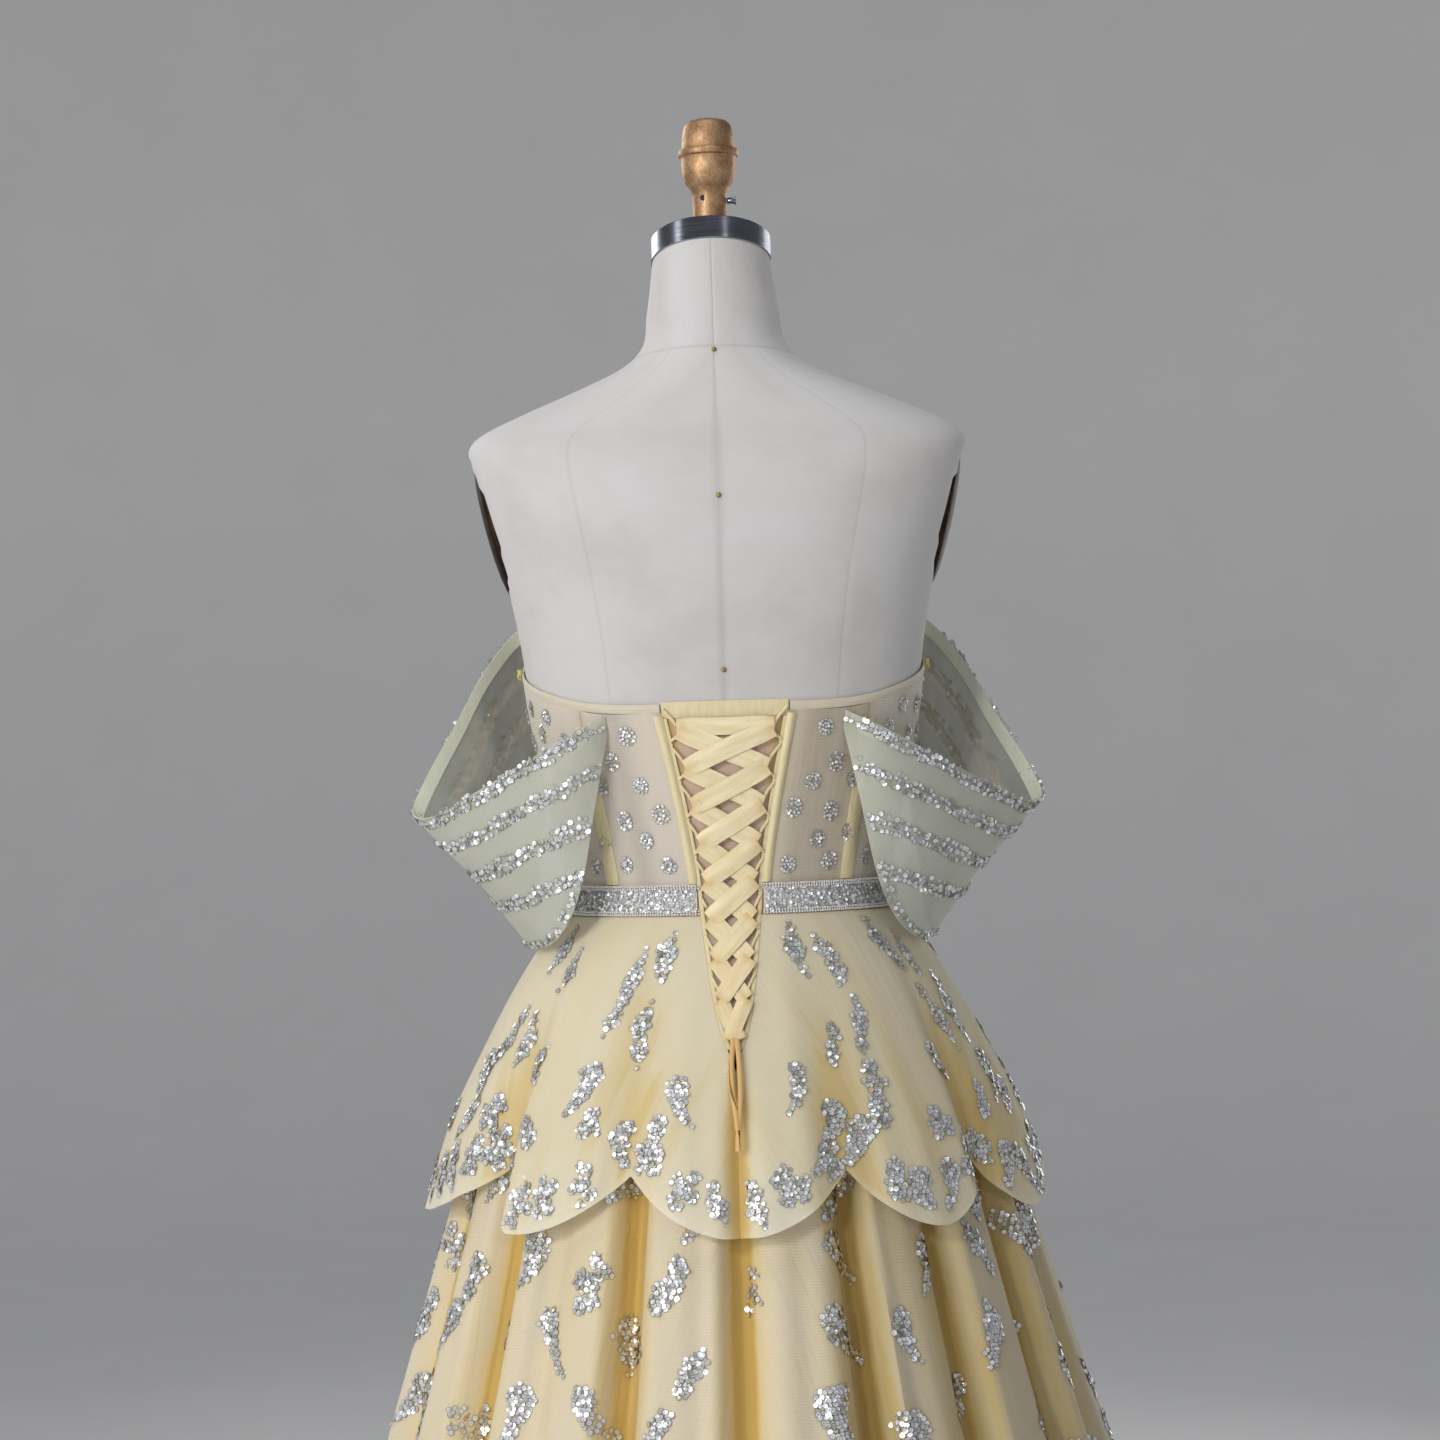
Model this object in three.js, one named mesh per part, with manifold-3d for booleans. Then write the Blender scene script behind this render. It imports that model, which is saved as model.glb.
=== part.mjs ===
// A floor-length ball gown on a limbless dress form, in millimetres.
// +Z is up, the gown's front faces -Y and the wearer's left is +X.
// The origin is on the floor under the form's pole.
// An angle round the body starts at the centre back (+Y) and grows towards the wearer's left (+X).
import * as THREE from "three";
import { mergeVertices } from "three/addons/utils/BufferGeometryUtils.js";
import Module from "manifold-3d";

const manifold = await Module();
manifold.setup();

const DEGREE = Math.PI / 180;
const WIDEST_COLUMN = 8.5;

// Driving heights
const HEM_Z = 8;
const LINING_HEM_Z = 20;
const SKIRT_TOP_Z = 1092.7;
const BODICE_BOTTOM_Z = 1093.6;
const BELT_Z = { low: 1093.4, high: 1116.4 };
const OPENING_FOOT_Z = 992;
const FORM_FOOT_Z = 790;
const NECK_TOP_Z = 1589;

// Driving widths
const HEM_HALF_WIDTH = 490;
const HEM_HALF_DEPTH = 480;
const BUST = { x: 76, z: 1262, out: 20, tall: 60, wide: 54 };

// Cloth: how far each layer's middle lies from the form, and how thick its wall is
const SEAM_GAP = 0.3;
const BODICE = { out: 2, thick: 2 };
const BUST_EASE = 1.5;
const BELT = { out: 5.1, thick: 2.2 };
const LINING = { out: 1.5, thick: 1 };
const SKIRT = { out: 3.2, thick: 1.2 };
const PEPLUM = { out: 5, thick: 1.2 };
const SLEEVE_THICK = 1.2;

// The form, a row for each level. rise is how much the ring climbs towards the back.
const FORM_LEVELS = [
  { z: 790, width: 166, back: 112, front: 106, square: 2.2, rise: 0 },
  { z: 900, width: 172, back: 118, front: 106, square: 2.2, rise: 0 },
  { z: 1000, width: 152, back: 104, front: 102, square: 2.2, rise: 0 },
  { z: 1060, width: 130, back: 90, front: 96, square: 2.2, rise: 0 },
  { z: 1105, width: 121, back: 84, front: 92, square: 2.2, rise: 0 },
  { z: 1150, width: 127, back: 88, front: 97, square: 2.25, rise: 0 },
  { z: 1200, width: 139, back: 94, front: 106, square: 2.3, rise: 0 },
  { z: 1246, width: 148, back: 100, front: 113, square: 2.35, rise: 0 },
  { z: 1300, width: 155, back: 106, front: 112, square: 2.4, rise: 0 },
  { z: 1350, width: 165, back: 109, front: 103, square: 2.45, rise: 0 },
  { z: 1400, width: 180, back: 104, front: 90, square: 2.5, rise: 0 },
  { z: 1435, width: 189, back: 92, front: 75, square: 2.5, rise: 0 },
  { z: 1451, width: 190, back: 79, front: 62, square: 2.4, rise: 0 },
  { z: 1460, width: 182, back: 71, front: 56, square: 2.3, rise: 0 },
  { z: 1475, width: 151, back: 64, front: 52, square: 2.2, rise: 0 },
  { z: 1492, width: 109, back: 57, front: 50, square: 2.1, rise: 0.03 },
  { z: 1508, width: 73, back: 52, front: 49, square: 2, rise: 0.08 },
  { z: 1522, width: 57, back: 49, front: 48, square: 2, rise: 0.13 },
  { z: 1550, width: 51, back: 46, front: 45, square: 2, rise: 0.2 },
  { z: 1589, width: 45.5, back: 44.5, front: 44, square: 2, rise: 0.3 },
];

// How far the three skirt layers stand out beyond the waist, and how deep their folds are
const PEPLUM_DRAPE = [
  { z: 865, out: 114, fold: 12 },
  { z: 911, out: 100, fold: 10 },
  { z: 950, out: 85.5, fold: 7 },
  { z: 984, out: 68.5, fold: 4.5 },
  { z: 1027, out: 45.5, fold: 2.5 },
  { z: 1065, out: 21.5, fold: 1 },
  { z: SKIRT_TOP_Z, out: 0, fold: 0 },
];
const SKIRT_DRAPE = [
  { z: HEM_Z, out: 364, fold: 52 },
  { z: 400, out: 240, fold: 42 },
  { z: 684, out: 152, fold: 32 },
  { z: 870, out: 96, fold: 22 },
  { z: 950, out: 73, fold: 12 },
  { z: 1027, out: 39, fold: 5 },
  { z: 1065, out: 17, fold: 2 },
  { z: SKIRT_TOP_Z, out: 0, fold: 0 },
];
const LINING_DRAPE = [
  { z: LINING_HEM_Z, out: 302, fold: 0 },
  { z: 400, out: 192, fold: 0 },
  { z: 684, out: 118, fold: 0 },
  { z: 870, out: 71, fold: 0 },
  { z: 950, out: 57, fold: 0 },
  { z: 1027, out: 32, fold: 0 },
  { z: 1065, out: 14, fold: 0 },
  { z: SKIRT_TOP_Z, out: 0, fold: 0 },
];

// The skirt's deep folds: the angle of each valley, its share of the full depth,
// and its half widths towards the back centre's right and left in degrees
const SKIRT_FOLDS = [
  { at: 0, depth: 0.8, before: 3, after: 3 },
  { at: 21, depth: 1, before: 3.2, after: 2.6 },
  { at: 36, depth: 0.3, before: 5, after: 4 },
  { at: 51, depth: 1, before: 4.5, after: 3 },
  { at: 72, depth: 0.55, before: 4, after: 4 },
  { at: 92, depth: 0.9, before: 4, after: 4 },
  { at: 113, depth: 0.6, before: 4, after: 4 },
  { at: 134, depth: 0.95, before: 4, after: 3 },
  { at: 157, depth: 0.7, before: 4, after: 4 },
  { at: 180, depth: 0.9, before: 3.5, after: 3.5 },
  { at: 203, depth: 0.7, before: 4, after: 4 },
  { at: 226, depth: 0.95, before: 3, after: 4 },
  { at: 247, depth: 0.6, before: 4, after: 4 },
  { at: 268, depth: 0.9, before: 4, after: 4 },
  { at: 287, depth: 0.5, before: 4, after: 4 },
  { at: 301, depth: 0.75, before: 3, after: 3.4 },
  { at: 320, depth: 0.7, before: 3, after: 4 },
  { at: 339, depth: 1, before: 2.6, after: 3.4 },
];

// The peplum's petals: where each begins, how far along it its hem is lowest,
// and the valley at its beginning
const PETALS = [
  { at: 21, low: 0.8, depth: 0.8, before: 6, after: 5 },
  { at: 51, low: 0.58, depth: 1.3, before: 3, after: 8 },
  { at: 118, low: 0.5, depth: 1.1, before: 6, after: 8 },
  { at: 149, low: 0.5, depth: 0.9, before: 6, after: 6 },
  { at: 180, low: 0.5, depth: 1, before: 6, after: 6 },
  { at: 211, low: 0.5, depth: 0.9, before: 6, after: 6 },
  { at: 240, low: 0.5, depth: 1, before: 6, after: 6 },
  { at: 270, low: 0.6, depth: 1.1, before: 8, after: 4 },
  { at: 308, low: 0.43, depth: 1.3, before: 8, after: 3 },
  { at: 339, low: 0.5, depth: 0.9, before: 6, after: 6 },
];
const CENTRE_SPLIT = { at: 0, depth: 0.9, before: 2.4, after: 2.4 };
const PEPLUM_HEM = { cusp: 914, drop: 43 };

// The top line of the bodice, by angle from the centre back
const TOP_LINE = [
  { angle: 0, z: 1244 },
  { angle: 36, z: 1246 },
  { angle: 62, z: 1257 },
  { angle: 90, z: 1273 },
  { angle: 112, z: 1291 },
  { angle: 132, z: 1316 },
  { angle: 148, z: 1331 },
  { angle: 161, z: 1328 },
  { angle: 172, z: 1310 },
  { angle: 180, z: 1296 },
];

// The laced opening: half its width at each height
const OPENING = [
  { z: 985, half: 0.3 },
  { z: OPENING_FOOT_Z, half: 2 },
  { z: 1013, half: 10 },
  { z: 1034, half: 14.5 },
  { z: 1062, half: 18.4 },
  { z: 1092, half: 22 },
  { z: 1125, half: 25 },
  { z: 1180, half: 34 },
  { z: 1250, half: 48 },
];

const OPENING_ROWS = [1000, 1025, 1050, 1066, 1077, 1086, 1095, 1108, 1123, 1145, 1170, 1202, 1240];

// Bodice seams by angle: back panel, side panel, side front, centre front
const SEAM_ANGLES = { back: 43, side: 98, front: 148 };

// The sleeve on the wearer's left, a row for each section between its two seams
const SLEEVE_SECTIONS = [
  { along: 1, topX: 121, topY: 92, topZ: 1227, lowX: 98, lowY: 95, lowZ: 1178, bulge: 3 },
  { along: 2, topX: 158, topY: 76, topZ: 1206, lowX: 108, lowY: 97, lowZ: 1125, bulge: 6 },
  { along: 3, topX: 195, topY: 50, topZ: 1186, lowX: 120, lowY: 88, lowZ: 1092, bulge: 5 },
  { along: 4, topX: 228, topY: 18, topZ: 1170, lowX: 136, lowY: 64, lowZ: 1073, bulge: 1 },
  { along: 5, topX: 243.5, topY: -8, topZ: 1174, lowX: 152, lowY: 26, lowZ: 1069, bulge: -3 },
  { along: 6, topX: 234, topY: -30, topZ: 1200, lowX: 156, lowY: -14, lowZ: 1070, bulge: -3 },
  { along: 7, topX: 212, topY: -54, topZ: 1240, lowX: 153, lowY: -56, lowZ: 1082, bulge: 0 },
  { along: 8, topX: 188, topY: -76, topZ: 1284, lowX: 150, lowY: -90, lowZ: 1135, bulge: 2 },
  { along: 9, topX: 159, topY: -94, topZ: 1316, lowX: 140, lowY: -108, lowZ: 1220, bulge: 3 },
];
const SLEEVE_SEAMS = {
  back: { angle: 33, top: 1243, low: 1230 },
  front: { angle: 128, top: 1309, low: 1290 },
};

// Lacing
const LACE = { width: 14, thick: 0.8, pitch: 28, top: 1231, levels: 9, out: 4, apart: 1 };
const MODESTY = { out: -1, thick: 1, band: 12, bandThick: 1.4 };
const LOOP = { tall: 24, radius: 0.9, out: 1.7 };
const LOOP_SHAPE = [
  { up: 1, inward: 0 },
  { up: 0.45, inward: 0.72 },
  { up: 0, inward: 0.8 },
  { up: -0.6, inward: 0.72 },
  { up: -1, inward: 0 },
];
const TAPE = { width: 2.4, thick: 1, out: 0.4 };
const TAIL = { foot: 932, width: 6, thick: 1.8, out: 3.4 };

// Bands
const BAND_TALL = 6;
const BINDING = { width: 6, out: 4, thick: 1 };
const BONING = { width: 9, out: 3.8, thick: 1, top: 1236 };

// Form metalwork
const NECK_PLATE = { radius: 46.5, tall: 19 };
const POLE_RADIUS = 17;
const STAND = { radius: 200, tall: 12, hubRadius: 42, hubTall: 34 };
const ARM_PLATE = { x: 170, z: 1390, slope: 0.24, deep: 35, tall: 56, thick: 9 };
const ARM_PLATE_RINGS = [
  { size: 1, out: 0 },
  { size: 1, out: 0.35 },
  { size: 0.8, out: 0.78 },
  { size: 0.4, out: 1 },
];
const FINIAL_PROFILE = [
  { radius: 13, z: 1580 },
  { radius: 13, z: 1644 },
  { radius: 17, z: 1648 },
  { radius: 20.5, z: 1657 },
  { radius: 21, z: 1667 },
  { radius: 20.5, z: 1670 },
  { radius: 23.5, z: 1672 },
  { radius: 23.5, z: 1675 },
  { radius: 20.5, z: 1677 },
  { radius: 19, z: 1692 },
  { radius: 15.5, z: 1698 },
  { radius: 8, z: 1700 },
];

// Colours and finishes
const COLOURS = {
  nude: { color: 0xd9cbb8, roughness: 0.8, metalness: 0 },
  organza: { color: 0xeee3c6, roughness: 0.6, metalness: 0 },
  mint: { color: 0xcfd3bd, roughness: 0.6, metalness: 0 },
  satin: { color: 0xe8d291, roughness: 0.35, metalness: 0 },
  lining: { color: 0xe3bf6a, roughness: 0.5, metalness: 0 },
  sequins: { color: 0xc9c9cc, roughness: 0.25, metalness: 0.9 },
  linen: { color: 0xd0cfcf, roughness: 0.85, metalness: 0 },
  steel: { color: 0x8f949d, roughness: 0.3, metalness: 1 },
  bronze: { color: 0x9a7c5c, roughness: 0.4, metalness: 0.9 },
  wood: { color: 0x4a372a, roughness: 0.5, metalness: 0 },
  iron: { color: 0x3a3a3c, roughness: 0.6, metalness: 0.5 },
};

const gown = new THREE.Group();

// Adds one named piece to the group.
function add(name, geometry, colour) {
  const mesh = new THREE.Mesh(geometry, new THREE.MeshStandardMaterial(COLOURS[colour]));
  mesh.name = name;
  gown.add(mesh);
}

// Smooth value of a table's column at a place between its rows, which are in order of key.
function smooth(table, key, column, place) {
  const last = table.length - 1;
  const at = Math.min(Math.max(place, table[0][key]), table[last][key]);
  let i = 0;
  while (i < last - 1 && at > table[i + 1][key]) i++;
  const slope = (j) => {
    const k = Math.min(Math.max(j, 0), last - 1);
    return (table[k + 1][column] - table[k][column]) / (table[k + 1][key] - table[k][key]);
  };
  const step = table[i + 1][key] - table[i][key];
  const t = (at - table[i][key]) / step;
  const start = ((slope(i - 1) + slope(i)) / 2) * step;
  const end = ((slope(i) + slope(i + 1)) / 2) * step;
  const low = table[i][column];
  const high = table[i + 1][column];
  const rise = high - low;
  return low + t * (start + t * (3 * rise - 2 * start - end + t * (start + end - 2 * rise)));
}

// How far round from one angle to another, from -180 to 180 degrees.
const turn = (from, to) => ((((to - from) % 360) + 540) % 360) - 180;

// Depth of one fold at an angle, from 0 to its share.
function valley(fold, angle) {
  const away = turn(fold.at, angle);
  const wide = away < 0 ? fold.before : fold.after;
  return fold.depth * Math.exp(-((away / wide) ** 2));
}

// Point on a section with rounded corners, and the same moved outwards by a distance.
function sectionPoint(section, angle, out) {
  const place = (degrees) => {
    const s = Math.sin(degrees * DEGREE);
    const c = Math.cos(degrees * DEGREE);
    const power = 2 / section.square;
    const deep = c > 0 ? section.back : section.front;
    return new THREE.Vector2(
      section.width * Math.sign(s) * Math.abs(s) ** power,
      deep * Math.sign(c) * Math.abs(c) ** power,
    );
  };
  const point = place(angle);
  const along = place(angle + 0.5).sub(place(angle - 0.5)).normalize();
  return point.add(new THREE.Vector2(-along.y, along.x).multiplyScalar(out));
}

// The angle at which a section has a given x, on its back.
const angleAtX = (section, x) =>
  (Math.asin(Math.sign(x) * (Math.abs(x) / section.width) ** (section.square / 2)) / DEGREE);

// The form's section at a height.
const formSection = (z) => ({
  width: smooth(FORM_LEVELS, "z", "width", z),
  back: smooth(FORM_LEVELS, "z", "back", z),
  front: smooth(FORM_LEVELS, "z", "front", z),
  square: smooth(FORM_LEVELS, "z", "square", z),
});

// How far the bust stands forward at a point of the form's front.
function bustAt(x, z, angle) {
  const tall = Math.exp(-(((z - BUST.z) / BUST.tall) ** 2));
  const wide = (side) => Math.exp(-(((x - side * BUST.x) / BUST.wide) ** 2));
  return tall * (wide(1) + wide(-1)) * Math.max(0, -Math.cos(angle * DEGREE));
}

// Point at an angle and height, a distance out from the form.
function onForm(angle, z, out) {
  const flat = sectionPoint(formSection(z), angle, out);
  const bust = bustAt(flat.x, z, angle);
  return new THREE.Vector3(flat.x, flat.y - BUST.out * bust, z + smooth(FORM_LEVELS, "z", "rise", z) * flat.y);
}

// Point of the bodice's middle, or a distance out from it.
function onBodice(angle, z, out = 0) {
  const flat = sectionPoint(formSection(z), angle, 0);
  return onForm(angle, z, BODICE.out + BUST_EASE * bustAt(flat.x, z, angle) + out);
}

// The section of a skirt layer at a height.
function drapeSection(layer, drape, z) {
  const waist = formSection(SKIRT_TOP_Z);
  const reach = SKIRT_DRAPE[0].out;
  const out = smooth(drape, "z", "out", z);
  const grow = (start, end) => start + layer.out + (out * (end - start - SKIRT.out)) / reach;
  return {
    width: grow(waist.width, HEM_HALF_WIDTH),
    back: grow(waist.back, HEM_HALF_DEPTH),
    front: grow(waist.front, HEM_HALF_DEPTH),
    square: 2 + (waist.square - 2) * Math.max(0, 1 - out / 60),
  };
}

// Point of a skirt layer's middle: its folds lie inwards from the section.
function onDrape(layer, drape, folds, angle, z, out = 0) {
  const fold = smooth(drape, "z", "fold", z) * folds(angle, z);
  const flat = sectionPoint(drapeSection(layer, drape, z), angle, out - fold);
  return new THREE.Vector3(flat.x, flat.y, z);
}

const sumOf = (folds, angle) => folds.reduce((sum, fold) => sum + valley(fold, angle), 0);
const skirtFolds = (angle, z) => {
  const centre = valley(SKIRT_FOLDS[0], angle);
  const closed = Math.min(Math.max((OPENING_FOOT_Z - z) / 40, 0), 1);
  return sumOf(SKIRT_FOLDS, angle) - centre * (1 - closed);
};
const peplumFolds = (angle, z) => {
  const closed = Math.min(Math.max((OPENING_FOOT_Z - z) / 40, 0), 1);
  return sumOf(PETALS, angle) + closed * valley(CENTRE_SPLIT, angle);
};
const onSkirt = (angle, z, out = 0) => onDrape(SKIRT, SKIRT_DRAPE, skirtFolds, angle, z, out);
const onLining = (angle, z, out = 0) => onDrape(LINING, LINING_DRAPE, () => 0, angle, z, out);
const onPeplum = (angle, z, out = 0) => onDrape(PEPLUM, PEPLUM_DRAPE, peplumFolds, angle, z, out);

// Height of the peplum's scalloped hem at an angle.
function petalHem(angle) {
  for (let i = 0; i < PETALS.length; i++) {
    const next = PETALS[(i + 1) % PETALS.length];
    const long = (turn(PETALS[i].at, next.at) + 360) % 360;
    const done = (turn(PETALS[i].at, angle) + 360) % 360;
    if (done > long) continue;
    const share = done / long;
    const low = PETALS[i].low;
    const side = share < low ? (low - share) / low : (share - low) / (1 - low);
    return PEPLUM_HEM.cusp - PEPLUM_HEM.drop * (1 - side * side);
  }
  return PEPLUM_HEM.cusp;
}

// Turns a list of vertices and triangles into a geometry.
function geometryOf(points, faces) {
  const geometry = new THREE.BufferGeometry().setFromPoints(points);
  geometry.setIndex(faces);
  return geometry;
}

// A wall of cloth: the middle surface over columns and rows, moved half its thickness to each side.
// The surface gives its outer side when columns run to the left and rows run up, seen from outside.
function wall(surface, columns, rows, thick) {
  const wide = columns.length;
  const tall = rows.length;
  const points = [];
  const columnAt = (c) => {
    if (c < 0) return 2 * columns[0] - columns[1];
    if (c === wide) return 2 * columns[wide - 1] - columns[wide - 2];
    return columns[c];
  };
  const normalAt = (c, r) => {
    const right = surface(columnAt(c + 1), rows[r]).sub(surface(columnAt(c - 1), rows[r]));
    const above = surface(columns[c], rows[Math.min(r + 1, tall - 1)]);
    const up = above.sub(surface(columns[c], rows[Math.max(r - 1, 0)]));
    return up.cross(right).normalize();
  };
  for (const side of [0.5, -0.5]) {
    for (let r = 0; r < tall; r++) {
      for (let c = 0; c < wide; c++) {
        points.push(surface(columns[c], rows[r]).addScaledVector(normalAt(c, r), side * thick));
      }
    }
  }
  const faces = [];
  const inner = wide * tall;
  const quad = (a, b, c, d) => faces.push(a, b, c, a, c, d);
  for (let r = 0; r + 1 < tall; r++) {
    for (let c = 0; c + 1 < wide; c++) {
      const a = r * wide + c;
      quad(a, a + wide, a + wide + 1, a + 1);
      quad(inner + a, inner + a + 1, inner + a + wide + 1, inner + a + wide);
    }
  }
  for (let c = 0; c + 1 < wide; c++) {
    const top = (tall - 1) * wide + c;
    quad(c, c + 1, inner + c + 1, inner + c);
    quad(top, inner + top, inner + top + 1, top + 1);
  }
  for (let r = 0; r + 1 < tall; r++) {
    const left = r * wide;
    const right = left + wide - 1;
    quad(left, inner + left, inner + left + wide, left + wide);
    quad(right, right + wide, inner + right + wide, inner + right);
  }
  return geometryOf(points, faces);
}

// A solid through closed rings of points, with a fan at each end.
function loft(rings) {
  const count = rings[0].length;
  const points = rings.flat();
  const faces = [];
  for (let r = 0; r + 1 < rings.length; r++) {
    for (let i = 0; i < count; i++) {
      const a = r * count + i;
      const b = r * count + ((i + 1) % count);
      faces.push(a, b + count, b, a, a + count, b + count);
    }
  }
  const end = (ring, upwards) => {
    const centre = points.length;
    const start = rings.indexOf(ring) * count;
    points.push(ring.reduce((sum, p) => sum.add(p), new THREE.Vector3()).divideScalar(count));
    for (let i = 0; i < count; i++) {
      const a = start + i;
      const b = start + ((i + 1) % count);
      if (upwards) faces.push(centre, b, a);
      else faces.push(centre, a, b);
    }
  };
  end(rings[0], false);
  end(rings[rings.length - 1], true);
  return geometryOf(points, faces);
}

// A geometry as a solid that can be joined or cut, and back.
function solidOf(geometry) {
  const bare = geometry.clone();
  bare.deleteAttribute("normal");
  bare.deleteAttribute("uv");
  const merged = mergeVertices(bare, 1e-4);
  return new manifold.Manifold(
    new manifold.Mesh({
      numProp: 3,
      vertProperties: new Float32Array(merged.attributes.position.array),
      triVerts: new Uint32Array(merged.index.array),
    }),
  );
}
function geometryFrom(solid) {
  const mesh = solid.getMesh();
  const geometry = new THREE.BufferGeometry();
  geometry.setAttribute("position", new THREE.BufferAttribute(mesh.vertProperties, 3));
  geometry.setIndex(new THREE.BufferAttribute(mesh.triVerts, 1));
  return geometry;
}

// A lathe solid about the pole.
function turned(profile) {
  const outline = [new THREE.Vector2(0, profile[0].z)];
  for (const { radius, z } of profile) outline.push(new THREE.Vector2(radius, z));
  outline.push(new THREE.Vector2(0, profile[profile.length - 1].z));
  return new THREE.LatheGeometry(outline, 22).rotateX(Math.PI / 2);
}

// Even steps between two values.
const steps = (from, to, count) =>
  Array.from({ length: count + 1 }, (_, i) => from + ((to - from) * i) / count);

// Columns round a layer, close together at each fold.
function columnsAt(folds, from, to) {
  const spread = [-1.7, -0.7, 0, 0.7, 1.7];
  const found = [from, to];
  const inside = (angle) => angle > from + 1 && angle < to - 1;
  for (let i = 0; i < folds.length; i++) {
    const { at, before, after } = folds[i];
    const next = folds[(i + 1) % folds.length].at;
    const middle = at + ((turn(at, next) + 360) % 360) / 2;
    const places = spread.map((s) => at + s * (s < 0 ? before : after));
    for (const angle of [...places, middle]) {
      for (const round of [angle, angle - 360, angle + 360]) {
        if (inside(round)) found.push(round);
      }
    }
  }
  found.sort((a, b) => a - b);
  const kept = [from];
  for (const angle of found) {
    const step = angle - kept[kept.length - 1];
    if (step < 1) continue;
    if (step > WIDEST_COLUMN) kept.push(angle - step / 2);
    kept.push(angle);
  }
  kept[kept.length - 1] = to;
  return kept;
}

// The form's cover, cut flat at the armholes
function formTorso() {
  const ring = (z) => steps(0, 350, 35).map((angle) => onForm(angle, z, 0));
  const low = [790, 910, 990, 1050, 1078, 1096, 1112, 1132, 1160, 1195, 1225, 1248, 1272, 1296, 1325];
  const high = [1360, 1405, 1432, 1446, 1454, 1461, 1472, 1492, 1508, 1524, 1550];
  let solid = solidOf(loft([...low, ...high, NECK_TOP_Z].map(ring)));
  for (const side of [1, -1]) {
    const pocket = loft([0, 60].map((out) => armholeRing(1, SEAM_GAP, out)));
    solid = solid.subtract(solidOf(placeAtArmhole(pocket, side)));
  }
  add("form_torso", geometryFrom(solid), "linen");
}

// Oval ring over an armhole, and the armhole's place on the form
function armholeRing(size, margin, out) {
  return steps(0, 345, 23).map((angle) => {
    const up = (ARM_PLATE.tall * size + margin) * Math.sin(angle * DEGREE);
    const back = (ARM_PLATE.deep * size + margin) * Math.cos(angle * DEGREE);
    return new THREE.Vector3(up, back, out);
  });
}
function placeAtArmhole(geometry, side) {
  geometry.rotateY(Math.PI / 2 + Math.atan(ARM_PLATE.slope));
  if (side < 0) geometry.rotateZ(Math.PI);
  return geometry.translate(side * ARM_PLATE.x, 0, ARM_PLATE.z);
}

// Domed oval plate in an armhole
function armPlate(name, side) {
  const rings = ARM_PLATE_RINGS.map(({ size, out }) => armholeRing(size, 0, SEAM_GAP + out * ARM_PLATE.thick));
  add(name, placeAtArmhole(loft(rings), side), "wood");
}

// Neck plate, finial, screw, pole and stand
function formMetal() {
  const tilt = Math.atan(FORM_LEVELS[FORM_LEVELS.length - 1].rise);
  const low = NECK_TOP_Z + SEAM_GAP / Math.cos(tilt);
  const plate = new THREE.CylinderGeometry(NECK_PLATE.radius, NECK_PLATE.radius, NECK_PLATE.tall, 40);
  plate.translate(0, NECK_PLATE.tall / 2, 0).rotateX(Math.PI / 2 + tilt).translate(0, 0, low);
  add("form_neck_plate", plate, "steel");
  const top = low + (NECK_PLATE.tall + SEAM_GAP) / Math.cos(tilt);
  const below = new THREE.BoxGeometry(120, 120, 80);
  below.translate(0, 0, -40).rotateX(tilt).translate(0, 0, top);
  const finial = solidOf(turned(FINIAL_PROFILE)).subtract(solidOf(below));
  add("form_finial", geometryFrom(finial), "bronze");
  const screw = new THREE.CylinderGeometry(3.2, 2.2, 7, 12);
  screw.rotateZ(Math.PI / 2).translate(-(13 + SEAM_GAP + 3.5), 0, 1637);
  add("form_set_screw", screw, "steel");
  const pole = new THREE.CylinderGeometry(
    POLE_RADIUS,
    POLE_RADIUS,
    FORM_FOOT_Z - STAND.hubTall - 2 * SEAM_GAP,
    20,
  );
  pole.rotateX(Math.PI / 2).translate(0, 0, (FORM_FOOT_Z + STAND.hubTall) / 2);
  add("form_pole", pole, "steel");
  const stand = turned([
    { radius: STAND.radius, z: 0 },
    { radius: STAND.radius, z: STAND.tall - 4 },
    { radius: STAND.radius - 6, z: STAND.tall },
    { radius: STAND.hubRadius + 8, z: STAND.tall + 4 },
    { radius: STAND.hubRadius - 8, z: STAND.hubTall },
  ]);
  add("form_stand", stand, "iron");
}

// One panel of the bodice between two seam angles, or from the laced opening
function bodicePanel(name, from, to, mirrored) {
  const gap = 0.08;
  const count = Math.max(3, Math.round((to - Math.max(from, 20)) / 8));
  const surface = (share, high) => {
    const top = smooth(TOP_LINE, "angle", "z", Math.abs(turn(0, from + (to - from) * share)));
    const z = BODICE_BOTTOM_Z + (top - BODICE_BOTTOM_Z) * high;
    const edge = from > 0 ? from + gap : openingAngle(formSection(z), z, SEAM_GAP);
    const angle = edge + (to - gap - edge) * share;
    const point = onBodice(angle, z);
    return mirrored ? point.multiply(new THREE.Vector3(-1, 1, 1)) : point;
  };
  const columns = steps(0, 1, count);
  const turnedRound = mirrored ? columns.reverse() : columns;
  const rows = steps(0, 1, to > 90 ? 9 : 7);
  add(name, wall(surface, turnedRound, rows, BODICE.thick), "nude");
}

// The angle of the opening's edge at a height, on a given section.
const openingAngle = (section, z, clear) =>
  angleAtX(section, smooth(OPENING, "z", "half", z) + clear);

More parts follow.
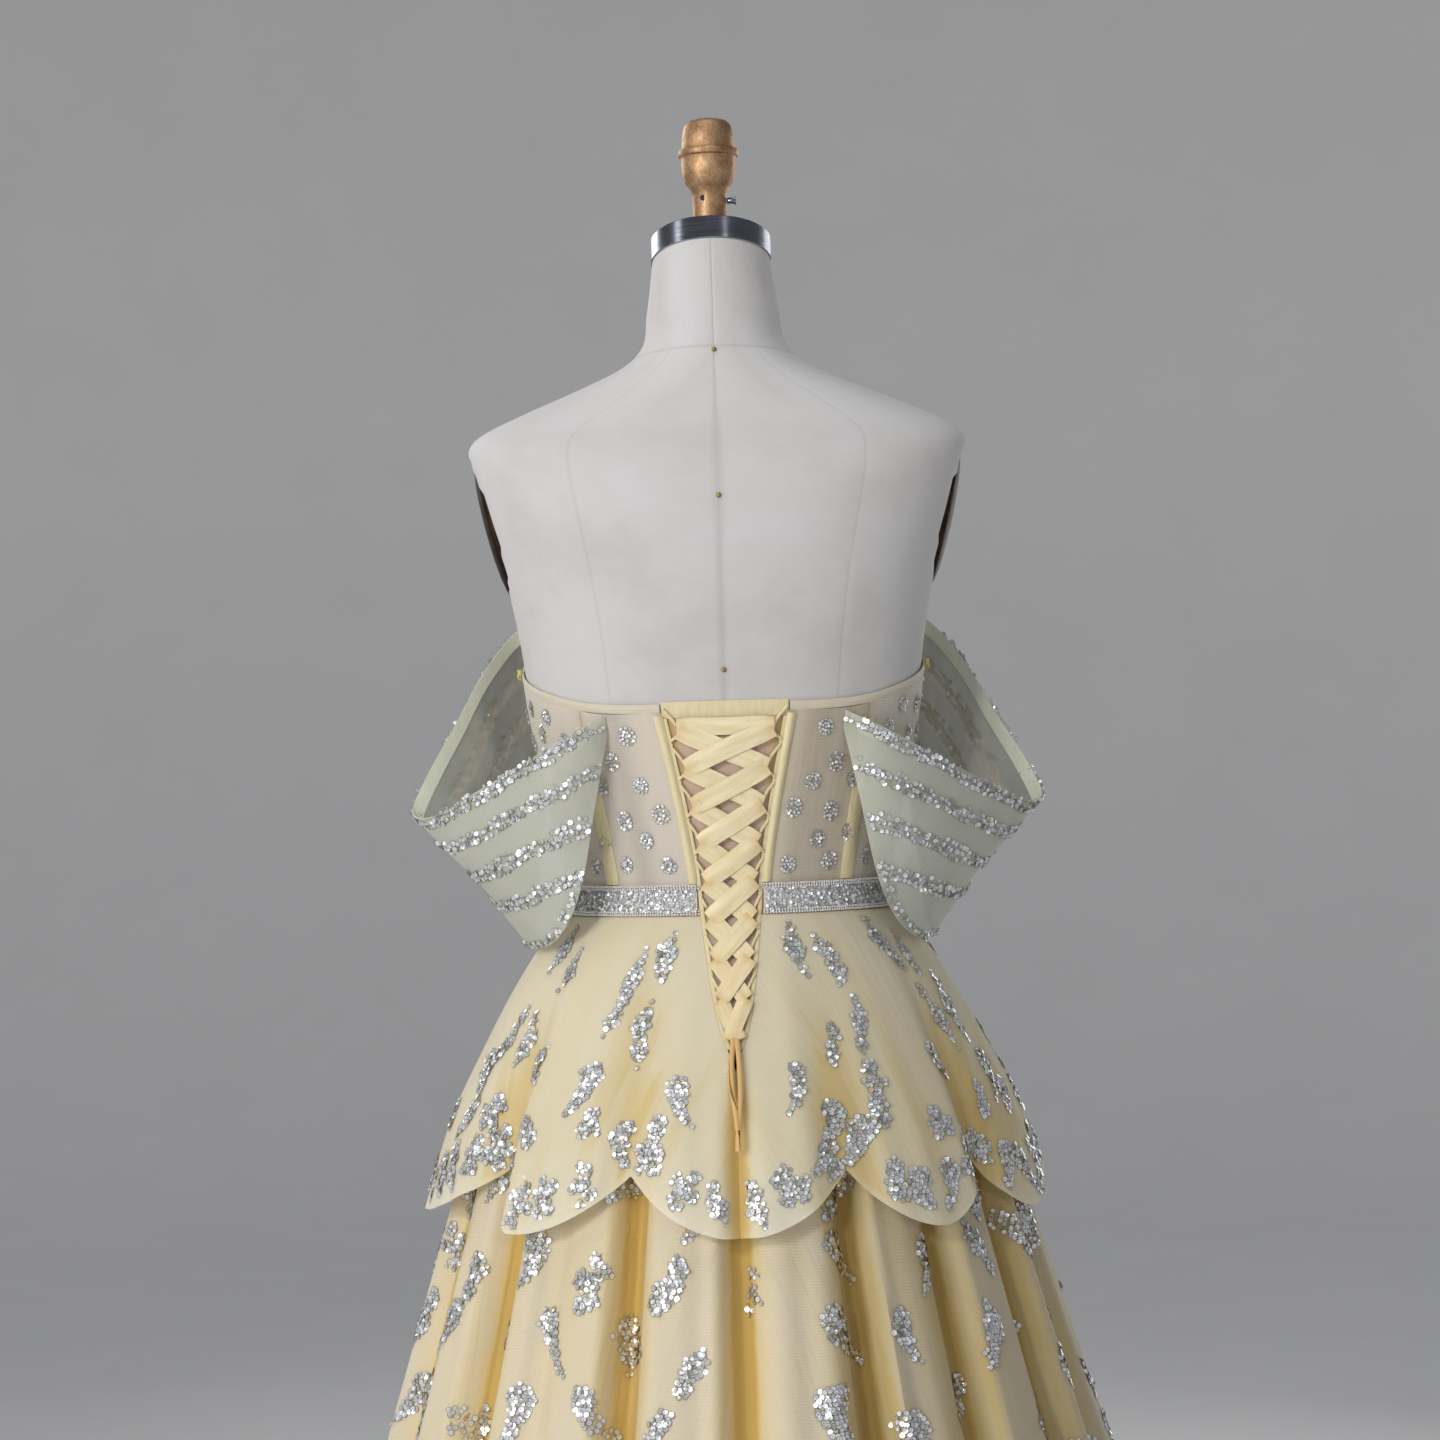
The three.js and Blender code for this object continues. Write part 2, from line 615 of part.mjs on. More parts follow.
// The surface that the laced opening lies in: the bodice above the waist and the peplum below.
function onOpening(x, z, out) {
  const bodice = onBodice(angleAtX(formSection(z), x), z, out);
  const low = Math.min(z, SKIRT_TOP_Z);
  const section = drapeSection(PEPLUM, PEPLUM_DRAPE, low);
  const peplum = onPeplum(angleAtX(section, x), low, out);
  const share = Math.min(Math.max((1125 - z) / (1125 - SKIRT_TOP_Z), 0), 1);
  const eased = share * share * (3 - 2 * share);
  return new THREE.Vector3(x, bodice.y * (1 - eased) + peplum.y * eased, z);
}

// How far a lace loop reaches into the opening at a height.
function loopReach(z) {
  const half = smooth(OPENING, "z", "half", z);
  return Math.min(3.2 + 0.12 * half, 0.5 * half);
}

// A strip across or along the opening, from its middle line and its side direction.
function strip(line, width, thick) {
  const surface = (side, place) => {
    const { x, z, out, sideX, sideZ } = line[place];
    return onOpening(x + sideX * side * width, z + sideZ * side * width, out);
  };
  return wall(surface, [-0.5, 0.5], line.map((_, i) => i), thick);
}

function modestyPanel() {
  const surface = (share, z) => {
    const half = smooth(OPENING, "z", "half", z) - TAPE.width - 2 * SEAM_GAP;
    return onOpening(half * share, z, MODESTY.out);
  };
  add("modesty_panel", wall(surface, steps(-1, 1, 4), OPENING_ROWS, MODESTY.thick), "nude");
  const low = OPENING_ROWS[OPENING_ROWS.length - 1] + SEAM_GAP;
  const half = smooth(OPENING, "z", "half", low) - 1;
  const band = (share, z) => onOpening(half * share, z, MODESTY.out);
  const bandRows = [low, low + MODESTY.band];
  add("modesty_band", wall(band, steps(-1, 1, 8), bandRows, MODESTY.bandThick), "satin");
}

// Strip with a row of loops beside the opening, on one side
function loopTape(name, side) {
  const surface = (share, z) => {
    const edge = smooth(OPENING, "z", "half", z) - SEAM_GAP;
    return onOpening(side * (edge - TAPE.width * share), z, TAPE.out);
  };
  const columns = side > 0 ? [1, 0] : [0, 1];
  let solid = solidOf(wall(surface, columns, OPENING_ROWS, TAPE.thick));
  for (let level = 0; level + 1 < LACE.levels; level++) {
    const z = LACE.top - LACE.pitch * level;
    const path = LOOP_SHAPE.map(({ up, inward }) => {
      const height = z + (up * LOOP.tall) / 2;
      const edge = smooth(OPENING, "z", "half", height);
      return onOpening(side * (edge - TAPE.width / 2 - loopReach(z) * inward), height, LOOP.out);
    });
    solid = solid.add(solidOf(tube(path, LOOP.radius, 2)));
  }
  add(name, geometryFrom(solid), "satin");
}

// A tube along a few points, as an extruded section.
function tube(points, radius, count) {
  const outline = new THREE.Shape();
  outline.absarc(0, 0, radius, 0, Math.PI * 2);
  return new THREE.ExtrudeGeometry(outline, {
    steps: points.length - 1,
    curveSegments: count,
    extrudePath: new THREE.CatmullRomCurve3(points),
  });
}

// The lace: a top run, two zigzags that cross, and two tails
function lacing() {
  const level = (k) => LACE.top - LACE.pitch * k;
  const inset = (k) => {
    const half = smooth(OPENING, "z", "half", level(k));
    return half - loopReach(level(k)) - TAPE.width / 2;
  };
  const strand = (fromX, fromZ, toX, toZ, apart) => {
    const long = Math.hypot(toX - fromX, toZ - fromZ);
    const side = { sideX: (toZ - fromZ) / long, sideZ: -(toX - fromX) / long };
    const line = [0, 0.5, 1].map((t) => ({
      x: fromX + (toX - fromX) * t,
      z: fromZ + (toZ - fromZ) * t,
      out: LACE.out + apart * Math.sin(Math.PI * t),
      ...side,
    }));
    return solidOf(strip(line, Math.min(LACE.width, long * 0.45), LACE.thick));
  };
  let solid = strand(-inset(0), level(0), inset(0), level(0), 0);
  for (let k = 0; k + 1 < LACE.levels; k++) {
    solid = solid.add(strand(inset(k), level(k), -inset(k + 1), level(k + 1), -LACE.apart));
    solid = solid.add(strand(-inset(k), level(k), inset(k + 1), level(k + 1), LACE.apart));
  }
  const tailTop = level(LACE.levels - 1) + 6;
  const tail = [tailTop, 984, 966, 948, TAIL.foot].map((z) => ({ x: 0, z, out: TAIL.out, sideX: -1, sideZ: 0 }));
  solid = solid.add(solidOf(strip(tail, TAIL.width, TAIL.thick)));
  add("lacing_ribbon", geometryFrom(solid), "satin");
}

// Yellow edging beside the opening, on the bodice
function openingBinding(name, side) {
  const surface = (share, z) => {
    const edge = openingAngle(formSection(z), z, SEAM_GAP + BINDING.width * share);
    const point = onForm(edge, z, BINDING.out);
    return new THREE.Vector3(side * point.x, point.y, point.z);
  };
  const columns = side > 0 ? [0, 1] : [1, 0];
  add(name, wall(surface, columns, [1117, 1145, 1175, 1210, 1241], BINDING.thick), "satin");
}

// Channel over the back seam's boning
function boning(name, side) {
  const surface = (share, z) => {
    const section = formSection(z);
    const middle = onForm(SEAM_ANGLES.back, z, 0).x;
    const point = onForm(angleAtX(section, middle + BONING.width * share), z, BONING.out);
    return new THREE.Vector3(side * point.x, point.y, point.z);
  };
  const columns = side > 0 ? [-0.5, 0, 0.5] : [0.5, 0, -0.5];
  add(name, wall(surface, columns, [1117, 1145, 1175, 1205, BONING.top], BONING.thick), "satin");
}

// Band along the bodice's top edge, from one side of the opening round to the other
function topBand() {
  const surface = (angle, high) => {
    const half = Math.abs(turn(0, angle));
    const z = smooth(TOP_LINE, "angle", "z", half) + SEAM_GAP + 0.6 + BAND_TALL * high;
    return onBodice(angle, z, -0.3);
  };
  const start = openingAngle(formSection(1248), 1248, 1.5);
  add("top_band", wall(surface, steps(start, 360 - start, 46), [0, 1], 1.4), "mint");
}

// Beaded belt over the waist seam, in two halves that meet at the centre front
function beltHalf(name, from, to) {
  const surface = (share, z) => {
    const edge = openingAngle(formSection(z), z, 1);
    const start = from === null ? edge : from;
    const end = to === null ? 360 - edge : to;
    return onForm(start + (end - start) * share, z, BELT.out);
  };
  add(name, wall(surface, steps(0, 1, 24), [BELT_Z.low, 1105, BELT_Z.high], BELT.thick), "sequins");
}

// A skirt layer's panel between two angles. null is the laced opening's edge.
function skirtPanel(name, layer, drape, place, columns, heights, hem, colour) {
  const first = columns[0];
  const last = columns[columns.length - 1];
  const surface = (angle, high) => {
    const foot = hem(angle);
    const z = foot + (SKIRT_TOP_Z - foot) * high;
    const edge = openingAngle(drapeSection(layer, drape, z), z, 2 * SEAM_GAP);
    let at = angle;
    if (first < 1) at = edge + ((last - edge) * (angle - first)) / (last - first);
    if (last > 359) at = first + ((360 - edge - first) * (angle - first)) / (last - first);
    return place(at, z);
  };
  const shares = heights.map((z) => (z - heights[0]) / (SKIRT_TOP_Z - heights[0]));
  add(name, wall(surface, columns, shares, layer.thick), colour);
}

function skirtLayers() {
  const gap = 0.1;
  const side = { left: 92, right: 268 };
  const ranges = {
    back_left: [0.5, side.left - gap],
    front: [side.left + gap, side.right - gap],
    back_right: [side.right + gap, 359.5],
  };
  for (const [panel, [from, to]] of Object.entries(ranges)) {
    const folds = columnsAt(SKIRT_FOLDS, from, to);
    const heights = [HEM_Z, 340, 684, 870, 960, 1030, 1065, SKIRT_TOP_Z];
    skirtPanel("skirt_" + panel, SKIRT, SKIRT_DRAPE, onSkirt, folds, heights, () => HEM_Z, "organza");
    const petals = columnsAt(PETALS, from, to);
    const levels = [880, 920, 955, 984, 1012, 1040, 1065, SKIRT_TOP_Z];
    skirtPanel("peplum_" + panel, PEPLUM, PEPLUM_DRAPE, onPeplum, petals, levels, petalHem, "organza");
  }
  const halves = { left: [0.5, 180 - gap], right: [180 + gap, 359.5] };
  for (const [panel, [from, to]] of Object.entries(halves)) {
    const heights = [LINING_HEM_Z, 400, 870, 960, 1030, 1065, SKIRT_TOP_Z];
    const columns = steps(from, to, 22);
    skirtPanel("lining_" + panel, LINING, LINING_DRAPE, onLining, columns, heights, () => LINING_HEM_Z, "lining");
  }
}

// Off-shoulder sleeve: a band from the bodice's back round to its front
function sleeve(name, side) {
  const seamRow = (seam, along) => {
    const out = BODICE.thick / 2 + SEAM_GAP + SLEEVE_THICK / 2 + 0.3;
    const top = onBodice(seam.angle, seam.top, out);
    const low = onBodice(seam.angle, seam.low, out);
    const [topX, topY, topZ] = top.toArray();
    const [lowX, lowY, lowZ] = low.toArray();
    return { along, topX, topY, topZ, lowX, lowY, lowZ, bulge: 0 };
  };
  const last = SLEEVE_SECTIONS.length + 1;
  const table = [seamRow(SLEEVE_SEAMS.back, 0), ...SLEEVE_SECTIONS, seamRow(SLEEVE_SEAMS.front, last)];
  const surface = (along, down) => {
    const at = (end, axis) => smooth(table, "along", end + axis, along);
    const top = new THREE.Vector3(at("top", "X"), at("top", "Y"), at("top", "Z"));
    const low = new THREE.Vector3(at("low", "X"), at("low", "Y"), at("low", "Z"));
    const away = new THREE.Vector3(top.x + low.x, top.y + low.y, 0).normalize();
    const bulge = smooth(table, "along", "bulge", along) * Math.sin(Math.PI * down);
    const point = top.lerp(low, down).addScaledVector(away, bulge);
    return new THREE.Vector3(side * point.x, point.y, point.z);
  };
  const columns = steps(0, last, 24);
  const geometry = wall(surface, side > 0 ? columns : columns.reverse(), [1, 0.8, 0.6, 0.4, 0.2, 0], SLEEVE_THICK);
  add(name, geometry, "mint");
}

formTorso();
armPlate("form_arm_plate_left", 1);
armPlate("form_arm_plate_right", -1);
formMetal();

for (const [word, mirrored] of [["left", false], ["right", true]]) {
  bodicePanel("bodice_back_" + word, 0, SEAM_ANGLES.back, mirrored);
  bodicePanel("bodice_side_" + word, SEAM_ANGLES.back, SEAM_ANGLES.side, mirrored);
  bodicePanel("bodice_side_front_" + word, SEAM_ANGLES.side, SEAM_ANGLES.front, mirrored);
}
bodicePanel("bodice_front", SEAM_ANGLES.front, 360 - SEAM_ANGLES.front, false);

topBand();
beltHalf("belt_left", null, 180 - 0.1);
beltHalf("belt_right", 180 + 0.1, null);
openingBinding("opening_binding_left", 1);
openingBinding("opening_binding_right", -1);
boning("boning_left", 1);
boning("boning_right", -1);
modestyPanel();
loopTape("loop_tape_left", 1);
loopTape("loop_tape_right", -1);
lacing();
skirtLayers();
sleeve("sleeve_left", 1);
sleeve("sleeve_right", -1);

export default gown;
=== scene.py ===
# A pale yellow ball gown with a laced back, on a limbless dress form.
# Sizes are in millimetres until a mesh is made. +Z is up, the gown's front faces -Y
# and the wearer's left is +X. An angle round the body starts at the centre back (+Y)
# and grows towards the wearer's left.
import math

import bpy
import numpy as np
from mathutils import Matrix, Vector


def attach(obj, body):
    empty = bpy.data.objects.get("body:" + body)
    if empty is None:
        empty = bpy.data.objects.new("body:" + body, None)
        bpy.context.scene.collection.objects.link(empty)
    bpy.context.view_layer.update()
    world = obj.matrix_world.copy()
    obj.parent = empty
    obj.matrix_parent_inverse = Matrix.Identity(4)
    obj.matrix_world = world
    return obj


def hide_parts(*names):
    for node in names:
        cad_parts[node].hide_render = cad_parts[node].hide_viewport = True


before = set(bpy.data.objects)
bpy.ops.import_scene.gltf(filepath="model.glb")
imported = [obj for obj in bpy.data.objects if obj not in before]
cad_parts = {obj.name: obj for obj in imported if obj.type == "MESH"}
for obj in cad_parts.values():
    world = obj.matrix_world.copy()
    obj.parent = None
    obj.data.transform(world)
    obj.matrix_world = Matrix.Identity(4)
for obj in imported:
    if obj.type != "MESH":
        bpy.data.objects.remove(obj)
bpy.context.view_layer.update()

MM = 0.001
DEGREE = math.pi / 180
SEED = 20
SIDES = (("left", 1), ("right", -1))

# Levels
HEM_Z = 8
LINING_HEM_Z = 20
SKIRT_TOP_Z = 1092.7
BODICE_BOTTOM_Z = 1093.6
BELT_Z = (1093.4, 1116.4)
BELT_MIDDLE_Z = 1105
OPENING_FOOT_Z = 992
OPENING_TOP_Z = 1240
FORM_BOTTOM_Z = 790
NECK_TOP_Z = 1589
HEM_HALF_WIDTH = 490
HEM_HALF_DEPTH = 480

# How far each layer's middle lies from the form, and its wall
SEAM_GAP = 0.3
BODICE_OUT = 2
BUST_EASE = 1.5
BELT_OUT = 5.1
SKIRT_OUT = 3.2
CLOTH = 0.8
BODICE_WALL = 1.0
BAND_WALL = 1.2
TRIM_WALL = 0.8
BUST = {"x": 76, "z": 1262, "out": 20, "tall": 60, "wide": 54}


def table(names, *rows):
    """A table as one array for each named column."""
    return {name: np.array([row[i] for row in rows], float) for i, name in enumerate(names.split())}


FORM_LEVELS = table(
    "z width back front square rise",
    (FORM_BOTTOM_Z, 166, 112, 106, 2.2, 0),
    (900, 172, 118, 106, 2.2, 0),
    (1000, 152, 104, 102, 2.2, 0),
    (1060, 130, 90, 96, 2.2, 0),
    (1105, 121, 84, 92, 2.2, 0),
    (1150, 127, 88, 97, 2.25, 0),
    (1200, 139, 94, 106, 2.3, 0),
    (1246, 148, 100, 113, 2.35, 0),
    (1300, 155, 106, 112, 2.4, 0),
    (1350, 165, 109, 103, 2.45, 0),
    (1400, 180, 104, 90, 2.5, 0),
    (1435, 189, 92, 75, 2.5, 0),
    (1451, 190, 79, 62, 2.4, 0),
    (1460, 182, 71, 56, 2.3, 0),
    (1475, 151, 64, 52, 2.2, 0),
    (1492, 109, 57, 50, 2.1, 0.03),
    (1508, 73, 52, 49, 2, 0.08),
    (1522, 57, 49, 48, 2, 0.13),
    (1550, 51, 46, 45, 2, 0.2),
    (NECK_TOP_Z, 45.5, 44.5, 44, 2, 0.3),
)
PEPLUM_DRAPE = table(
    "z out fold",
    (865, 114, 12),
    (911, 100, 10),
    (950, 85.5, 7),
    (984, 68.5, 4.5),
    (1027, 45.5, 2.5),
    (1065, 21.5, 1),
    (SKIRT_TOP_Z, 0, 0),
)
SKIRT_DRAPE = table(
    "z out fold",
    (HEM_Z, 364, 52),
    (400, 240, 42),
    (684, 152, 32),
    (870, 96, 22),
    (950, 73, 12),
    (1027, 39, 5),
    (1065, 17, 2),
    (SKIRT_TOP_Z, 0, 0),
)
LINING_DRAPE = table(
    "z out",
    (LINING_HEM_Z, 302),
    (400, 192),
    (684, 118),
    (870, 71),
    (950, 57),
    (1027, 32),
    (1065, 14),
    (SKIRT_TOP_Z, 0),
)
SKIRT_FOLDS = table(
    "at depth before after",
    (0, 0.8, 3, 3),
    (21, 1, 3.2, 2.6),
    (36, 0.3, 5, 4),
    (51, 1, 4.5, 3),
    (72, 0.55, 4, 4),
    (92, 0.9, 4, 4),
    (113, 0.6, 4, 4),
    (134, 0.95, 4, 3),
    (157, 0.7, 4, 4),
    (180, 0.9, 3.5, 3.5),
    (203, 0.7, 4, 4),
    (226, 0.95, 3, 4),
    (247, 0.6, 4, 4),
    (268, 0.9, 4, 4),
    (287, 0.5, 4, 4),
    (301, 0.75, 3, 3.4),
    (320, 0.7, 3, 4),
    (339, 1, 2.6, 3.4),
)
PETALS = table(
    "at low depth before after",
    (21, 0.8, 0.8, 6, 5),
    (51, 0.58, 1.3, 3, 8),
    (118, 0.5, 1.1, 6, 8),
    (149, 0.5, 0.9, 6, 6),
    (180, 0.5, 1, 6, 6),
    (211, 0.5, 0.9, 6, 6),
    (240, 0.5, 1, 6, 6),
    (270, 0.6, 1.1, 8, 4),
    (308, 0.43, 1.3, 8, 3),
    (339, 0.5, 0.9, 6, 6),
)
CENTRE_SPLIT = table("at depth before after", (0, 0.9, 2.4, 2.4))
PETAL_HEM = {"cusp": 914, "drop": 43}
TOP_LINE = table(
    "angle z",
    (0, 1244),
    (36, 1246),
    (62, 1257),
    (90, 1273),
    (112, 1291),
    (132, 1316),
    (148, 1331),
    (161, 1328),
    (172, 1310),
    (180, 1296),
)
OPENING = table(
    "z half",
    (985, 0.3),
    (OPENING_FOOT_Z, 2),
    (1013, 10),
    (1034, 14.5),
    (1062, 18.4),
    (1092, 22),
    (1125, 25),
    (1180, 34),
    (1250, 48),
)
SEAM_ANGLES = {"back": 43, "side": 98, "front": 148}
SLEEVE_SECTIONS = (
    (1, 121, 92, 1227, 98, 95, 1178, 3),
    (2, 158, 76, 1206, 108, 97, 1125, 6),
    (3, 195, 50, 1186, 120, 88, 1092, 5),
    (4, 228, 18, 1170, 136, 64, 1073, 1),
    (5, 243.5, -8, 1174, 152, 26, 1069, -3),
    (6, 234, -30, 1200, 156, -14, 1070, -3),
    (7, 212, -54, 1240, 153, -56, 1082, 0),
    (8, 188, -76, 1284, 150, -90, 1135, 2),
    (9, 159, -94, 1316, 140, -108, 1220, 3),
)
SLEEVE_BACK = {"angle": 33, "top": 1243, "low": 1230}
SLEEVE_FRONT = {"angle": 128, "top": 1309, "low": 1290}
SLEEVE_OUT = 1.9
SLEEVE_END = len(SLEEVE_SECTIONS) + 1

ARM_PLATE = {"x": 170, "z": 1390, "slope": 0.24, "deep": 35, "tall": 56, "thick": 9}
NECK_PLATE = {"radius": 46.5, "tall": 19, "tilt": math.atan(0.3)}
POLE = {"radius": 17, "foot": 34.6, "top": 789.4}
FINIAL = (
    (13, 1609), (13, 1640), (14.5, 1646), (18, 1650), (20.2, 1656), (21, 1664), (20.7, 1669), (21.3, 1670.6),
    (23, 1671.4), (23.5, 1672.6), (23.5, 1674.6), (22.6, 1676), (20.4, 1677), (20.1, 1684), (19.3, 1690),
    (17.8, 1695), (14.5, 1698.2), (9, 1699.7), (0, 1700),
)
STAND = (
    (0, 0), (197, 0), (200, 2.5), (200, 7.5), (198.6, 10.2), (194, 12), (120, 14), (50, 16), (44, 18),
    (41, 23), (38, 30), (35, 34), (0, 34),
)
SCREW = {
    "profile": ((3.2, 0), (3.2, 1.4), (2.4, 1.8), (2.4, 6), (1.8, 7), (0.8, 7)),
    "place": (-20.3, 0, 1637),
}
HOLE = {"profile": ((2.3, 0), (2.3, 0.4)), "place": (5, 12, 1638)}
PIN = {
    "profile": ((0.9, -1.2), (1.6, -0.6), (1.9, 0.3), (1.7, 1.1), (1.1, 1.7), (0.4, 1.95)),
    "levels": (1512.5, 1404, 1275),
}

# The camera stands level behind the form
CAMERA = {"distance": 2486, "height": 1238, "side": 3.8, "roll": 1.7, "focal_px": 3232, "photo_px": 1440}


# Shapes, worked out for arrays of angles and heights at once

def arrays(*values):
    """The values as arrays of one common shape."""
    return np.broadcast_arrays(*[np.asarray(value, float) for value in values])


def lattice(across, up):
    """Even values across and up a grid, each given as first, last and count."""
    return np.meshgrid(np.linspace(*across), np.linspace(*up))


def circle(count):
    """Even steps once round."""
    return np.arange(count) * 2 * math.pi / count


def smooth(rows, key, column, place):
    """Value of a table's column at a place between its rows, eased through them."""
    keys, values = rows[key], rows[column]
    place = np.clip(place, keys[0], keys[-1])
    i = np.clip(np.searchsorted(keys, place) - 1, 0, len(keys) - 2)
    steps = np.diff(keys)
    slopes = np.diff(values) / steps
    t = (place - keys[i]) / steps[i]
    start = (slopes[np.maximum(i - 1, 0)] + slopes[i]) / 2 * steps[i]
    end = (slopes[np.minimum(i + 1, len(slopes) - 1)] + slopes[i]) / 2 * steps[i]
    rise = values[i + 1] - values[i]
    return values[i] + t * (start + t * (3 * rise - 2 * start - end + t * (start + end - 2 * rise)))


def ease(low, high, value):
    """0 below low, 1 above high and a soft step between."""
    t = np.clip((value - low) / (high - low), 0, 1)
    return t * t * (3 - 2 * t)


def bell(value, wide, power=2):
    """1 at 0 and down to nothing on both sides."""
    return np.exp(-((value / wide) ** power))


def turn(start, end):
    """How far round from one angle to another, from -180 to 180 degrees."""
    return np.mod(end - start + 180, 360) - 180


def valleys(folds, angle, spread=1.0):
    """Depth of the folds at an angle, as a share of the full depth."""
    total = 0
    for at, depth, before, after in zip(folds["at"], folds["depth"], folds["before"], folds["after"]):
        away = turn(at, angle)
        total = total + depth * bell(away, spread * np.where(away < 0, before, after))
    return total


def lips(folds, angle):
    """A rolled edge on the sharper side of each fold and a quick drop behind it."""
    total = 0
    rows = zip(folds["at"], folds["depth"], folds["before"], folds["after"])
    for number, (at, depth, before, after) in enumerate(rows):
        side = np.sign(after - before) * -1 or (-1) ** number
        narrow = min(before, after)
        away = turn(at, angle) * side
        roll = bell(away - 1.7 * narrow, 0.45 * narrow)
        drop = bell(away - 0.75 * narrow, 0.3 * narrow)
        total = total + depth * (0.16 * drop - 0.1 * roll)
    return total


def section_point(section, angle, out):
    """Point on a level section with rounded corners, moved outwards by a distance."""
    def place(degrees):
        s, c = np.sin(degrees * DEGREE), np.cos(degrees * DEGREE)
        power = 2 / section["square"]
        deep = np.where(c > 0, section["back"], section["front"])
        return section["width"] * np.sign(s) * np.abs(s) ** power, deep * np.sign(c) * np.abs(c) ** power

    x, y = place(angle)
    ahead, behind = place(angle + 0.5), place(angle - 0.5)
    dx, dy = ahead[0] - behind[0], ahead[1] - behind[1]
    long = np.hypot(dx, dy)
    return x - dy / long * out, y + dx / long * out


def form_section(z):
    return {name: smooth(FORM_LEVELS, "z", name, z) for name in ("width", "back", "front", "square")}


def angle_at_x(section, x):
    """The angle on a section's back at which it has a given x."""
    share = np.clip(np.abs(x) / section["width"], 0, 1)
    return np.arcsin(np.sign(x) * share ** (section["square"] / 2)) / DEGREE


def bust_at(x, z, angle):
    tall = bell(z - BUST["z"], BUST["tall"])
    wide = sum(bell(x - side * BUST["x"], BUST["wide"]) for _, side in SIDES)
    return tall * wide * np.maximum(0, -np.cos(angle * DEGREE))


def on_form(angle, z, out=0.0):
    """Points at a distance out from the form."""
    angle, z, out = arrays(angle, z, out)
    x, y = section_point(form_section(z), angle, out)
    rise = smooth(FORM_LEVELS, "z", "rise", z)
    return np.stack([x, y - BUST["out"] * bust_at(x, z, angle), z + rise * y], -1)


def on_bodice(angle, z, out=0.0):
    angle, z, out = arrays(angle, z, out)
    x, _ = section_point(form_section(z), angle, 0)
    return on_form(angle, z, BODICE_OUT + BUST_EASE * bust_at(x, z, angle) + out)


def ripple(angle, z, parts):
    """Small uneven waves round the body, each as count, phase, drift by height and share."""
    total = 0
    for count, phase, drift, share in parts:
        total = total + share * np.sin(count * angle * DEGREE + phase + drift * z)
    return total


def closed_below(z):
    """0 beside the laced opening and 1 below its foot."""
    return np.clip((OPENING_FOOT_Z - z) / 40, 0, 1)


def skirt_folds(angle, z, spread=1.0):
    centre = {name: column[:1] for name, column in SKIRT_FOLDS.items()}
    return valleys(SKIRT_FOLDS, angle, spread) - valleys(centre, angle, spread) * (1 - closed_below(z))


def peplum_folds(angle, z, spread=1.0):
    return valleys(PETALS, angle, spread) + closed_below(z) * valleys(CENTRE_SPLIT, angle, spread)


# The skirt's layers. rolled is where the folds' edges begin to roll and where they are fully rolled,
# and radius is about where a layer's waist lies.
LINING = {"out": 1.5, "drape": LINING_DRAPE}
SKIRT = {
    "out": SKIRT_OUT, "radius": 124, "drape": SKIRT_DRAPE,
    "folds": skirt_folds, "creases": SKIRT_FOLDS, "rolled": (1000, 880),
    "ripples": ((37, 0.4, 0.003, 0.03), (61, 1.9, -0.002, 0.025), (23, 4.1, 0.0015, 0.03)),
}
PEPLUM = {
    "out": 5, "radius": 128, "drape": PEPLUM_DRAPE,
    "folds": peplum_folds, "creases": PETALS, "rolled": (1060, 960),
    "ripples": ((29, 0.7, 0.004, 0.06), (47, 2.2, -0.006, 0.05)),
}


def layer_section(layer, z):
    """The section of a skirt layer at a height."""
    waist = form_section(SKIRT_TOP_Z)
    reach = SKIRT_DRAPE["out"][0]
    out = smooth(layer["drape"], "z", "out", z)
    sizes = {"square": 2 + (waist["square"] - 2) * np.maximum(0, 1 - out / 60)}
    for side, end in (("width", HEM_HALF_WIDTH), ("back", HEM_HALF_DEPTH), ("front", HEM_HALF_DEPTH)):
        sizes[side] = waist[side] + layer["out"] + out * (end - waist[side] - SKIRT_OUT) / reach
    return sizes


def on_layer(layer, angle, z, out=0.0, folded=True):
    """Points of a skirt layer: its folds lie inwards from the section."""
    angle, z, out = arrays(angle, z, out)
    if folded and "folds" in layer:
        deep = smooth(layer["drape"], "z", "fold", z)
        fold = deep * (layer["folds"](angle, z) + ripple(angle, z, layer["ripples"]))
        out = out - (fold + deep * lips(layer["creases"], angle) * ease(*layer["rolled"], z))
    x, y = section_point(layer_section(layer, z), angle, out)
    return np.stack([x, y, z], -1)


def hem_of(level):
    """A level hem, as its height for each angle."""
    return lambda angle: np.full(np.shape(angle), float(level))


def petal_hem(angle):
    """Height of the peplum's scalloped hem."""
    angle = np.mod(np.asarray(angle, float), 360)
    hem = hem_of(PETAL_HEM["cusp"])(angle)
    for start, end, low in zip(PETALS["at"], np.roll(PETALS["at"], -1), PETALS["low"]):
        share = np.mod(angle - start, 360) / np.mod(end - start, 360)
        side = np.where(share < low, (low - share) / low, (share - low) / (1 - low))
        hem = np.where(share <= 1, PETAL_HEM["cusp"] - PETAL_HEM["drop"] * (1 - side * side), hem)
    return hem


def opening_half(z):
    return smooth(OPENING, "z", "half", z)


def opening_angle(section, z, clear):
    return angle_at_x(section, opening_half(z) + clear)


